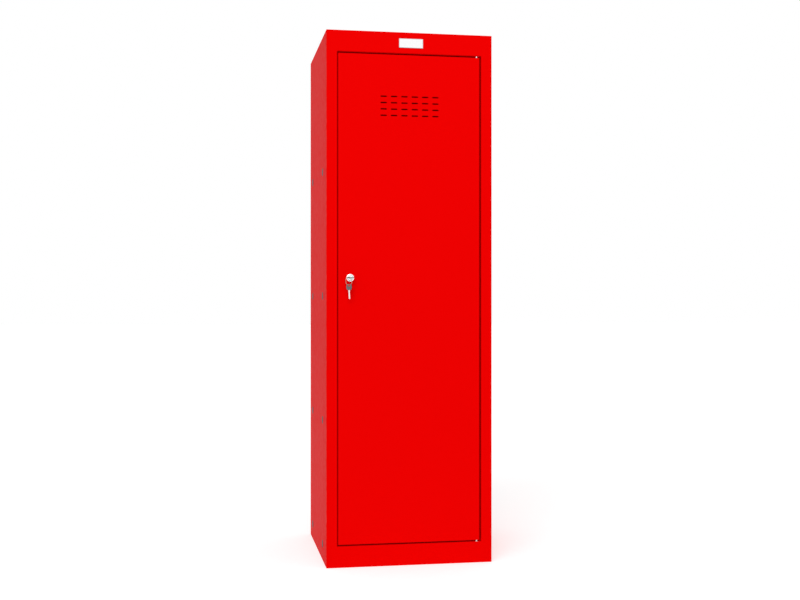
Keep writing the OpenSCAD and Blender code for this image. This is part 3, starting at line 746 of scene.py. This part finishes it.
def vent_slot(cell, centre):
    add_plate(cell, *VENT_SIZE, centre, corner=VENT_ROUND)


def lock_hole(cell, centre):
    add_plate(cell, LOCK_HOLE, LOCK_FLATS, centre, corner=5.0, steps=6)


door_bm = bmesh.new()
vent_columns = [DOOR_X + (n - 2.5) * VENT_PITCH_X for n in range(6)]
vent_rows = [VENT_TOP - n * VENT_PITCH_Z for n in range(4)]
door_holes = {(x, z): vent_slot for x in vent_columns for z in vent_rows}
door_holes[LOCK_X, LOCK_Z] = lock_hole
vent_lines_across = [DOOR_X + (n - 3) * VENT_PITCH_X for n in range(7)]
vent_lines_up = [VENT_TOP + (0.5 - n) * VENT_PITCH_Z for n in range(5)]
door_edges_across = (DOOR_LEFT + DOOR_ROUND, DOOR_RIGHT - DOOR_ROUND)
door_edges_up = (DOOR_LOW + DOOR_ROUND, DOOR_HIGH - DOOR_ROUND)
add_cells(
    door_bm,
    lines_round((*door_edges_across, *vent_lines_across), [LOCK_X], LOCK_CELL),
    lines_round((*door_edges_up, *vent_lines_up), [LOCK_Z], LOCK_CELL),
    door_holes,
)
move(door_bm, at(0, FRONT, 0) @ FACING_FRONT)
print("door blank", len(door_holes), "holes", len(door_bm.faces), "faces")

# %% [markdown]
# The rim rolls back, runs straight and rolls in again to the lip. A real door's corners are welded
# shut, so the edges aren't folded one by one. The whole rim is one closed row, and each step is a
# copy that is scaled about the door's centre and moved back.

# %% Rolling the door's rim
def grow_rim(bm, row, before, after):
    """Extrudes the closed rim from one (inset, depth) behind the front to the next."""
    verts, row = extrude_row(bm, row)
    grow_x = (DOOR_WIDE - 2 * after[0]) / (DOOR_WIDE - 2 * before[0])
    grow_z = (DOOR_TALL - 2 * after[0]) / (DOOR_TALL - 2 * before[0])
    about = at(-DOOR_X, 0, -DOOR_Z)
    bmesh.ops.scale(bm, vec=(grow_x, 1, grow_z), space=about, verts=verts)
    bmesh.ops.translate(bm, vec=(0, after[1] - before[1], 0), verts=verts)
    return row


def quarter(steps=5):
    """Sines and cosines round a quarter turn, without its start."""
    angles = [math.radians(90) * (n + 1) / steps for n in range(steps)]
    return [(math.sin(a), math.cos(a)) for a in angles]


rim_path = [(DOOR_ROUND, 0)]
rim_path += [(DOOR_ROUND * (1 - s), DOOR_ROUND * (1 - c)) for s, c in quarter()]
rim_path += [(0, DOOR_DEEP - DOOR_ROUND)]
rim_path += [(DOOR_ROUND * (1 - c), DOOR_DEEP - DOOR_ROUND * (1 - s)) for s, c in quarter()]
rim_path += [(DOOR_LIP, DOOR_DEEP)]
rim = [e for x in door_edges_across for e in edge_row(door_bm, "x", x)]
rim += [e for z in door_edges_up for e in edge_row(door_bm, "z", z)]
for before, after in zip(rim_path, rim_path[1:]):
    rim = grow_rim(door_bm, rim, before, after)
make_piece(
    "skin_door_panel", door_bm, [red_paint], "door", outward=(0, -1, 0), rim=DOOR_RIM
)

# %% [markdown]
# A hat section is welded up the middle of the door's inside, because a wide thin sheet drums and
# bends without one. Its web is the blank, and both sides are folded down to the door and out again
# into flanges.

# %% Door stiffener
HAT_LOW = 81.4
HAT_HIGH = 1003.2
HAT_WEB = 46
HAT_FLANGE = 12
HAT_DEEP = 14
HAT_FOOT = 0.5
HAT_WALL = HAT_DEEP - DOOR_ROUND - SHEET - HAT_FOOT
hat_bm = bmesh.new()
add_plate(hat_bm, HAT_WEB - 2 * DOOR_ROUND, HAT_HIGH - HAT_LOW, (-DOOR_X, (HAT_LOW + HAT_HIGH) / 2))
move(hat_bm, at(0, FRONT + SHEET + HAT_DEEP, 0) @ FACING_BACK)
for side in (-1, 1):
    row = edge_row(hat_bm, "x", DOOR_X + side * (HAT_WEB / 2 - DOOR_ROUND))
    row = fold_sheet(hat_bm, row, (side, 0, 0), (0, -1, 0), DOOR_ROUND, HAT_WALL)
    fold_sheet(hat_bm, row, (0, -1, 0), (side, 0, 0), HAT_FOOT, HAT_FLANGE - HAT_FOOT)
make_piece(
    "skin_door_stiffener", hat_bm, [red_paint], "door", outward=(0, 1, 0), rim=DOOR_RIM
)

# %% [markdown]
# Round pieces are turned or moulded, so they are made by spinning half of their section about the
# axis. Flat solid pieces, such as keys, are stamped: an outline is filled and then extruded to its
# thickness. Most then get a small bevel, because no real edge is perfectly sharp, and it catches
# the light.

# %% Helpers for turned and stamped pieces
ALONG_Y = turned(-90, "X")


def spun(section, steps=48):
    """A solid spun about Z from a half section of (radius, height) corners."""
    bm = bmesh.new()
    corners = [bm.verts.new((radius, 0, height)) for radius, height in section]
    lines = [bm.edges.new(pair) for pair in zip(corners, corners[1:])]
    bmesh.ops.spin(
        bm,
        geom=corners + lines,
        cent=(0, 0, 0),
        axis=(0, 0, 1),
        angle=math.tau,
        steps=steps,
        use_merge=True,
    )
    merge_doubles(bm, 0.0005)
    return bm


def copies(part, places):
    """A drawing that holds the part once at each place. The part itself is used up."""
    bm = bmesh.new()
    for place in places:
        copy_into(bm, part, place)
    part.free()
    return bm


def soften(bm, width, steps=2, angle=30):
    """Rounds the edges of a solid that are sharper than an angle."""
    bmesh.ops.recalc_face_normals(bm, faces=bm.faces)
    limit = math.radians(angle)
    sharp = [e for e in bm.edges if len(e.link_faces) == 2 and e.calc_face_angle() > limit]
    round_off(bm, sharp, "EDGES", width, steps, clamp=True)


def thicken(bm, depth):
    """Extrudes every face of a flat outline into a solid of that depth along Z."""
    made = bmesh.ops.extrude_face_region(bm, geom=bm.faces[:], use_keep_orig=True)["geom"]
    bmesh.ops.translate(bm, vec=(0, 0, depth), verts=pick(BMVert, made))


# %% [markdown]
# The plate on the rail is thin, with softly rounded corners. Insetting its face gives the ring for
# the grey line, and the white middle is pressed in by 0.1 mm, as enamel sits within its edge.

# %% Name plate
PLATE_SIZE = (56, 21.4)
PLATE_THICK = 0.8
PLATE_GAP = 0.02
PLATE_PLACE = (2, 1195.4)
BORDER = 0.9
plate_bm = bmesh.new()
add_plate(plate_bm, *PLATE_SIZE, PLATE_PLACE, corner=BORDER, steps=3)
bmesh.ops.inset_region(
    plate_bm, faces=plate_bm.faces[:], use_boundary=True, thickness=BORDER, use_even_offset=True
)
merge_doubles(plate_bm, 0.05)
middle = widest_face(plate_bm)
for face in plate_bm.faces:
    face.material_index = 0 if face is middle else 1
thicken(plate_bm, PLATE_GAP - PLATE_THICK)
white_faces = [face for face in plate_bm.faces if face.material_index == 0]
lowered = [face for face in white_faces if face.calc_center_median().z > -0.1]
bmesh.ops.inset_region(plate_bm, faces=lowered, thickness=0.12, depth=-0.1, use_even_offset=True)
move(plate_bm, at(0, FRONT - PLATE_THICK, 0) @ FACING_FRONT)
enamels = [white_enamel, grey_enamel]
make_piece("blank_name_plate", plate_bm, enamels, "carcass", rim=0.12)

# %% [markdown]
# Lockers of this kind can be bolted side by side, and moulded plugs close the unused holes. A plug
# has a low dome outside, a thin rim against the paint and a hollow shank that grips the hole. One
# plug is spun, bevelled and copied to the eight holes.

# %% Side plugs
PLUG_SECTION = [
    (0, 1.12), (3.0, 1.18), (6.2, 1.1), (8.2, 0.8), (9.0, 0.42), (9.0, 0.0),
    (7.4, 0.0), (7.4, -5.2), (7.0, -6.0), (5.9, -6.0), (5.9, -0.1), (0, -0.1),
]


def side_plugs(name, side):
    plug = spun(PLUG_SECTION, 36)
    soften(plug, 0.15, 2, 40)
    outwards = turned(90 * side, "Y")
    places = [at(side * BACK, y, z) @ outwards for y in LINK_HOLE_Y for z in LINK_HOLE_Z]
    make_piece(name, copies(plug, places), [grey_plastic], "carcass")


side_plugs("moulded_left_side_plugs", -1)
side_plugs("moulded_right_side_plugs", 1)

# %% [markdown]
# The door turns on two steel pins in white nylon bushes. Each bush is spun with its flange and its
# bore; the lower one is closed, because the door's weight stands on its floor.

# %% Hinge bushes and pins
BORE = 2.56


def place_turned(name, section, place, finish, body):
    bm = spun(section)
    soften(bm, 0.2)
    make_piece(name, bm, [finish], body, place)


upper_bush = [(BORE, 0), (4.0, 0), (4.0, 4.0), (5.0, 4.0), (5.0, 5.2), (BORE, 5.2), (BORE, 0)]
lower_bush = [(0, 5.2), (BORE, 5.2), *upper_bush[:4], (5.0, 7.2), (0, 7.2)]
upper_seat = at(PIN_X, PIN_Y, OPEN_HIGH)
lower_seat = at(PIN_X, PIN_Y, OPEN_LOW) @ turned(180, "X")
place_turned("turned_upper_pivot_bush", upper_bush, upper_seat, white_nylon, "carcass")
place_turned("turned_lower_pivot_bush", lower_bush, lower_seat, white_nylon, "carcass")

for level in ("upper", "lower"):
    pin_low, pin_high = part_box(level + "_hinge_pin")
    long = (pin_high.z - pin_low.z) / MM
    shank = [(0, 0), (1.9, 0), (2.5, 0.8), (2.5, long - 2)]
    head = [(4.25, long - 2), (4.25, long - 0.3), (3.6, long), (0, long)]
    foot = at(PIN_X, PIN_Y, pin_low.z / MM)
    pin_name = "turned_" + level + "_hinge_pin"
    place_turned(pin_name, shank + head, foot, bright_steel, "door")
    print(pin_name, "is", round(long, 2), "mm long")

# %% [markdown]
# Three rubber buffers on the strike keep the door from clanging. Each is a low button with a domed
# nose.

# %% Door buffers
buffer_low, buffer_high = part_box("door_buffers")
BUFFER_LONG = (buffer_high.y - buffer_low.y) / MM
BUFFER_X = -161
BUFFER_Z = (138, 610, 1082)
button_section = [
    (0, 0), (4.5, 0), (4.5, BUFFER_LONG - 1.4),
    (4.0, BUFFER_LONG - 0.6), (2.8, BUFFER_LONG - 0.1), (0, BUFFER_LONG),
]
button_bm = spun(button_section, 32)
soften(button_bm, 0.2)
buffers_bm = copies(
    button_bm, [at(BUFFER_X, buffer_high.y / MM, z) @ FACING_FRONT for z in BUFFER_Z]
)
make_piece("rubber_door_buffers", buffers_bm, [black_rubber], "carcass")

# %% [markdown]
# The lock's housing is die cast: a round face with a rolled rim outside, and behind it a threaded
# barrel with two flats that stop it turning in the door. The thread is a zigzag in the section. The
# flats are two cuts with a plane, and each cut is then closed with a face.

# %% Lock housing
def in_lock(y):
    """Puts a drawing on the lock's axis, facing the front, with its origin at that depth."""
    return at(LOCK_X, y, LOCK_Z) @ ALONG_Y


FACE_Y = -195.0
BARREL_END = 25.0
CORE_R = 5.86
BARREL_R = CORE_R + 0.04
THREADS = 21
FLAT = 7.0
barrel_section = [(BARREL_R, 1.6), (7.4, 1.6), (7.4, 3.0)]
for number in range(THREADS):
    barrel_section += [(7.45, 3.3 + number), (8.0, 3.8 + number)]
barrel_section += [(7.4, BARREL_END - 0.7), (BARREL_R, BARREL_END), (BARREL_R, 1.6)]
housing_bm = spun(barrel_section)
for side in (-1, 1):
    whole = housing_bm.verts[:] + housing_bm.edges[:] + housing_bm.faces[:]
    cut = bmesh.ops.bisect_plane(
        housing_bm, geom=whole, plane_co=(0, FLAT * side, 0), plane_no=(0, side, 0), clear_outer=True
    )["geom_cut"]
    bmesh.ops.holes_fill(housing_bm, edges=pick(BMEdge, cut), sides=0)
face_section = [
    (CORE_R, 2.48), (CORE_R, 0.5), (6.1, 0.26), (6.5, 0.08), (7.2, 0.0), (7.9, 0.12),
    (8.5, 0.5), (8.87, 1.05), (9.0, 1.7), (9.0, 2.48), (CORE_R, 2.48),
]
face_bm = spun(face_section, 64)
copy_into(housing_bm, face_bm)
face_bm.free()
housing_seat = in_lock(FACE_Y)
make_piece("cast_lock_housing", housing_bm, [lock_chrome], "door", housing_seat)

# %% [markdown]
# The plug is the part that the key turns. Its front shows the keyway, a slot a little larger than
# the key, so it is a disc with a slot that is extruded back as far as the key goes. Behind come the
# solid end and the square that drives the cam.

# %% Lock plug
PLUG_R = 5.8
KEYWAY_SIZE = (4.0, 2.2)
KEYWAY_DEEP = 20.6
PLUG_END = 24.9
SQUARE = 6
SQUARE_LONG = 2.7
plug_bm = bmesh.new()
add_round(plug_bm, 2 * PLUG_R, steps=48)
add_plate(plug_bm, *KEYWAY_SIZE, corner=0.35, steps=2)
fill_between(plug_bm)
thicken(plug_bm, KEYWAY_DEEP)
soften(plug_bm, 0.22, 2, 60)
solid_from = KEYWAY_DEEP - 0.01
end_bm = spun([(0, solid_from), (PLUG_R, solid_from), (PLUG_R, PLUG_END), (0, PLUG_END)])
square_bm = bmesh.new()
add_plate(square_bm, SQUARE, SQUARE, corner=0.3, steps=2)
thicken(square_bm, SQUARE_LONG)
copy_into(plug_bm, end_bm)
copy_into(plug_bm, square_bm, at(0, 0, PLUG_END))
end_bm.free()
square_bm.free()
plug_seat = in_lock(FACE_Y + 0.15)
make_piece("turned_lock_plug", plug_bm, [lock_chrome], "lock_core", plug_seat)

# %% [markdown]
# A thin hexagon nut clamps the lock from inside, and the cam on the plug's end swings behind the
# strike. The nut is an outline with a round hole; the cam is a plate with one round end, two
# rounded corners and a square hole.

# %% Lock nut and cam
NUT_FLATS = 21
NUT_THICK = 4
nut_bm = bmesh.new()
add_round(nut_bm, NUT_FLATS / math.cos(math.radians(30)), steps=6)
move(nut_bm, turned(30, "Z"))
add_round(nut_bm, LOCK_HOLE, steps=48)
fill_between(nut_bm)
thicken(nut_bm, NUT_THICK)
soften(nut_bm, 0.35, 2, 35)
nut_seat = in_lock(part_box("lock_nut")[0].y / MM)
make_piece("hex_lock_nut", nut_bm, [zinc_steel], "door", nut_seat)

CAM_REACH = 26.5
CAM_WIDE = 14
CAM_THICK = 2
CAM_HOLE = SQUARE + 0.2
cam_bm = bmesh.new()
add_plate(cam_bm, CAM_WIDE, CAM_WIDE / 2 + CAM_REACH, (0, (CAM_REACH - CAM_WIDE / 2) / 2))
for height, radius, steps in ((-CAM_WIDE / 2, 6.95, 10), (CAM_REACH, 3.0, 5)):
    round_corners(cam_bm, [v for v in cam_bm.verts if close_to(v.co.y, height)], radius, steps)
add_plate(cam_bm, CAM_HOLE, CAM_HOLE, corner=0.35, steps=2)
fill_between(cam_bm)
thicken(cam_bm, CAM_THICK)
soften(cam_bm, 0.25, 2, 50)
cam_seat = in_lock(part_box("lock_cam")[0].y / MM)
make_piece("stamped_lock_cam", cam_bm, [zinc_steel], "lock_core", cam_seat)

# %% [markdown]
# Both keys are the same stamping. The bow is a rounded square with a slot for the ring and a
# shallow pressed panel; the blade has a round tip, a milled groove and four cuts in one edge. The
# panel is an outline of its own, so that it can be inset once the bow is thick.

# %% Stamping the bow
BOW_WIDE = 14.0
BOW_LONG = 13.5
EYE_EDGE = 3.1
EYE_SIZE = (7.2, 3.4)
PANEL_SIZE = (8.6, 5.6)
KEY_THICK = 1.8
BLADE_WIDE = 3.6
BLADE_LONG = 20.0


def key_bow():
    bm = bmesh.new()
    add_plate(bm, *PANEL_SIZE, (0, -4.3), corner=1.6, steps=4)
    pressed = bm.faces[:]
    add_plate(bm, BOW_WIDE, BOW_LONG, (0, -BOW_LONG / 2))
    for height, radius in ((-BOW_LONG, 3.5), (0, 5.0)):
        sides = [v for v in bm.verts if close_to(abs(v.co.x), BOW_WIDE / 2)]
        round_corners(bm, [v for v in sides if close_to(v.co.y, height)], radius)
    add_plate(bm, *EYE_SIZE, (0, EYE_EDGE - BOW_LONG), corner=1.68)
    fill_between(bm, [face for face in bm.faces if face not in pressed])
    for face in pressed:
        face.material_index = 1
    thicken(bm, KEY_THICK)
    bmesh.ops.recalc_face_normals(bm, faces=bm.faces)
    marked = [face for face in bm.faces if face.material_index == 1]
    for z in (0, KEY_THICK):
        panel = [face for face in marked if all(close_to(v.co.z, z) for v in face.verts)]
        bmesh.ops.inset_region(bm, faces=panel, thickness=0.45, depth=-0.35, use_even_offset=True)
    return bm


# %% [markdown]
# The cuts are made by slicing the flat outline with planes and moving single corners in. A boolean
# would do the same, but slices leave a clean outline to extrude. The groove is four slices along
# the blade, and the middle two are pressed in once it is thick.

# %% Cutting the blade
CUTS = [5.1 + 3 * number for number in range(4)]
CUT_DEEP = 0.9
GROOVE_LINES = (-1.5, -1.2, -0.4, -0.1)
GROOVE_DEEP = 0.45


def slice_across(bm, axis, place):
    """Adds a straight line of edges over a flat outline, square to an axis."""
    along = Vector((1, 0, 0)) if axis == "x" else Vector((0, 1, 0))
    everything = bm.verts[:] + bm.edges[:] + bm.faces[:]
    bmesh.ops.bisect_plane(bm, geom=everything, plane_co=along * place, plane_no=along)


def key_blade():
    bm = bmesh.new()
    add_plate(bm, BLADE_WIDE, BLADE_LONG + 1.5, (0, (BLADE_LONG - 1.5) / 2))
    round_corners(bm, [v for v in bm.verts if v.co.y > 1], BLADE_WIDE / 2 - 0.05)
    for cut in CUTS:
        for place in (cut - CUT_DEEP, cut, cut + CUT_DEEP):
            slice_across(bm, "y", place)
    edge_verts = [v for v in bm.verts if close_to(v.co.x, BLADE_WIDE / 2)]
    notches = [v for v in edge_verts if any(close_to(v.co.y, cut) for cut in CUTS)]
    bmesh.ops.translate(bm, vec=(-CUT_DEEP, 0, 0), verts=notches)
    for place in GROOVE_LINES:
        slice_across(bm, "x", place)
    thicken(bm, KEY_THICK)
    groove = [v for v in bm.verts if -1.25 < v.co.x < -0.35 and v.co.y < BLADE_LONG - 1.5]
    for z, depth in ((0, GROOVE_DEEP), (KEY_THICK, -GROOVE_DEEP)):
        bottom = [v for v in groove if close_to(v.co.z, z)]
        bmesh.ops.translate(bm, vec=(0, 0, depth), verts=bottom)
    return bm


def stamped_key():
    """A whole key in its own frame: shoulder at the origin, blade to +Y, lying in XY."""
    bm = key_bow()
    soften(bm, 0.16, 2, 40)
    for face in bm.faces:
        face.material_index = 0
    blade = key_blade()
    soften(blade, 0.12, 1, 50)
    for face in blade.faces:
        face.material_index = 1
    copy_into(bm, blade)
    blade.free()
    move(bm, at(0, 0, -KEY_THICK / 2))
    return bm


# %% [markdown]
# One key stands in the lock, flat, with its bow towards the front. The other hangs below it from an
# oval ring of wire. It is turned so that its face is half seen, and leans a little to the right
# with the ring. One matrix holds that lean, so the two stay together.

# %% The two keys
SHOULDER_Y = -195.4
HANG_X = -143.7
HANG_Y = -205.8
HANG_Z = LOCK_Z + KEY_THICK / 2
LEAN = 3
SPARE_TURN = 40
SPARE_EYE_DROP = 18.643
hanging = at(HANG_X, HANG_Y, HANG_Z) @ turned(-LEAN, "Y")
spare_place = hanging @ at(0, 0, -SPARE_EYE_DROP) @ turned(-SPARE_TURN, "Z")
spare_place = spare_place @ turned(-90, "X") @ at(0, BOW_LONG - EYE_EDGE, 0)
metals = [key_bow_metal, key_blade_metal]
lock_place = at(LOCK_X, SHOULDER_Y, LOCK_Z)
make_piece("stamped_lock_key", stamped_key(), metals, "key", lock_place)
make_piece("stamped_spare_key", stamped_key(), metals, "hanging_key", spare_place)

# %% [markdown]
# The ring is split: flat wire lies twice round an oval, and steps from the first turn to the second
# on one straight side. A curve with a bevel could follow that path, but spinning a rounded section
# round each end and extruding it down each side winds it as a machine does.

# %% Split ring
RING_R = 6.7
RING_SIDE = 5.4
RING_HANG = 5.691
TURN_GAP = 0.56
WIRE_SIZE = (0.95, 0.5)


def ends_of(row):
    return list({v for e in row for v in e.verts})


def bend_row(bm, row, centre, axis, degrees, steps):
    """Spins a row of edges about a centre, and returns the last row."""
    parts = row + ends_of(row)
    angle = math.radians(degrees)
    bent = bmesh.ops.spin(bm, geom=parts, cent=centre, axis=axis, angle=angle, steps=steps)
    return pick(BMEdge, bent["geom_last"])


def wind_turn(bm, row, first_rise):
    """From the right side up, over the top, down the left side and under the foot."""
    row = run_sheet(bm, row, (0, 0, first_rise))
    row = bend_row(bm, row, (0, 0, -RING_HANG), (0, -1, 0), 180, 24)
    row = run_sheet(bm, row, (0, 0, -RING_SIDE))
    return bend_row(bm, row, (0, 0, -RING_HANG - RING_SIDE), (0, -1, 0), 180, 24)


ring_bm = bmesh.new()
add_plate(ring_bm, *WIRE_SIZE, corner=0.22, steps=3)
wire_end = ring_bm.edges[:]
move(ring_bm, at(RING_R, -TURN_GAP / 2, -RING_HANG - RING_SIDE * 0.25))
row = wind_turn(ring_bm, wire_end, RING_SIDE * 0.25)
row = run_sheet(ring_bm, row, (0, TURN_GAP, RING_SIDE * 0.7))
row = wind_turn(ring_bm, row, RING_SIDE * 0.3)
bmesh.ops.holes_fill(ring_bm, edges=row, sides=0)
make_piece("wound_key_ring", ring_bm, [dark_ring_wire], "ring", hanging, merge=0.0001)

# %% [markdown]
# Inside, a plated coat hook is riveted to the back. Its two prongs are bars that run forward and
# turn up, with ball ends. A circle is extruded, then spun about the centre of the bend, and the end
# is closed with rings that shrink like a ball.

# %% Coat hook
HOOK_FACE = 188.5
HOOK_SIZE = (60, 24)
PRONG = 5.0
PRONG_BEND = 12.0
PRONG_LONG = 34.0
PRONG_X = (-19, 19)
BALL_ANGLES = (0, 25, 50, 72, 86)
HOOK_THICK = 2


def prong():
    bm = bmesh.new()
    bmesh.ops.create_circle(bm, cap_ends=True, radius=PRONG / 2, segments=24)
    straight = PRONG_LONG - PRONG_BEND
    row = run_sheet(bm, bm.edges[:], (0, 0, straight))
    row = bend_row(bm, row, (0, PRONG_BEND, straight), (-1, 0, 0), 90, 10)
    for angle_from, angle_to in zip(BALL_ANGLES, BALL_ANGLES[1:]):
        rise = math.sin(math.radians(angle_to)) - math.sin(math.radians(angle_from))
        shrink = math.cos(math.radians(angle_to)) / math.cos(math.radians(angle_from))
        row = run_sheet(bm, row, (0, rise * PRONG / 2, 0))
        about = at(0, 0, -PRONG_LONG)
        bmesh.ops.scale(bm, vec=(shrink, 1, shrink), space=about, verts=ends_of(row))
    bmesh.ops.holes_fill(bm, edges=row, sides=0)
    return bm


hook_bm = bmesh.new()
add_plate(hook_bm, *HOOK_SIZE, corner=4.0)
for x in RIVET_X:
    add_round(hook_bm, RIVET_HOLE, (x, 0), 24)
fill_between(hook_bm)
thicken(hook_bm, -HOOK_THICK)
soften(hook_bm, 0.3, 2, 50)
prong_bm = prong()
for x in PRONG_X:
    copy_into(hook_bm, prong_bm, at(x, 0, -1))
prong_bm.free()
hook_place = at(0, HOOK_FACE, HOOK_Z) @ FACING_FRONT
make_piece("bent_coat_hook", hook_bm, [zinc_steel], "carcass", hook_place)

# %% [markdown]
# Each rivet has a head on both sides of the sheet. One closed section with two heads is spun, and
# both rivets are copies of it.

# %% Hook rivets
rivet_section = [
    (0, -0.9), (2.2, -0.8), (3.3, -0.4), (3.6, 0), (2.0, 0),
    (2.0, 3), (3.6, 3), (3.3, 3.4), (2.2, 3.8), (0, 3.9),
]
rivet_places = [at(x, BACK - SHEET, HOOK_Z) @ FACING_FRONT for x in RIVET_X]
rivets_bm = copies(spun(rivet_section, 32), rivet_places)
make_piece("domed_hook_rivets", rivets_bm, [zinc_steel], "carcass")

# %% [markdown]
# The flat plates behind the hinges, the washer, the wafers and the cam's screw already have their
# true shape in the frame. They stay as they are and only take their finish.

# %% Finishes for the nodes that stay
HINGE_PLATES = ("_pivot_plate", "_door_plate")
KEPT = {level + plate: zinc_steel for level in ("upper", "lower") for plate in HINGE_PLATES}
KEPT.update({"lock_washer": zinc_steel, "cam_screw": zinc_steel, "lock_wafers": wafer_brass})
for node_name, finish in KEPT.items():
    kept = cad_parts[node_name]
    if not kept.material_slots:
        kept.data.materials.append(finish)
    for material_slot in kept.material_slots:
        material_slot.material = finish
print("kept nodes:", sorted(KEPT))

# %% [markdown]
# The floor is a wide sheet of pale paper. The camera and mirror-like metal see a little extra light
# from it, so that it meets the white background without a line, and matt surfaces see only what it
# reflects. The locker's shadow stays on it.

# %% Floor
FLOOR_GLOW = 0.42
FLOOR_LEVEL = -0.0004
paper = new_finish("pale_paper", Roughness=0.9, IOR=1.05)
paper_place = place_in(paper)
paper_white = tint(paper, noise(paper, paper_place, 30, 3), (0.88, 0.88, 0.88), (0.90, 0.90, 0.90))
dress(paper, paper_white, height=noise(paper, paper_place, 400, 3), depth=0.00003)
paper_shader = paper.node_tree.nodes["Principled BSDF"]
paper_shader.inputs["Emission Color"].default_value = (1, 1, 1, 1)
seen = seen_rays(paper.node_tree)
glow = add_node(paper, "ShaderNodeMapRange", {"Value": seen, "To Min": 0, "To Max": FLOOR_GLOW})
paper.node_tree.links.new(glow.outputs["Result"], paper_shader.inputs["Emission Strength"])
floor_bm = bmesh.new()
bmesh.ops.create_grid(floor_bm, x_segments=8, y_segments=8, size=25)
floor_mesh = bpy.data.meshes.new("paper_floor")
floor_bm.to_mesh(floor_mesh)
floor_bm.free()
floor_mesh.materials.append(paper)
floor_piece = add_object("paper_floor", floor_mesh)
floor_piece.location = (0, 0, FLOOR_LEVEL)
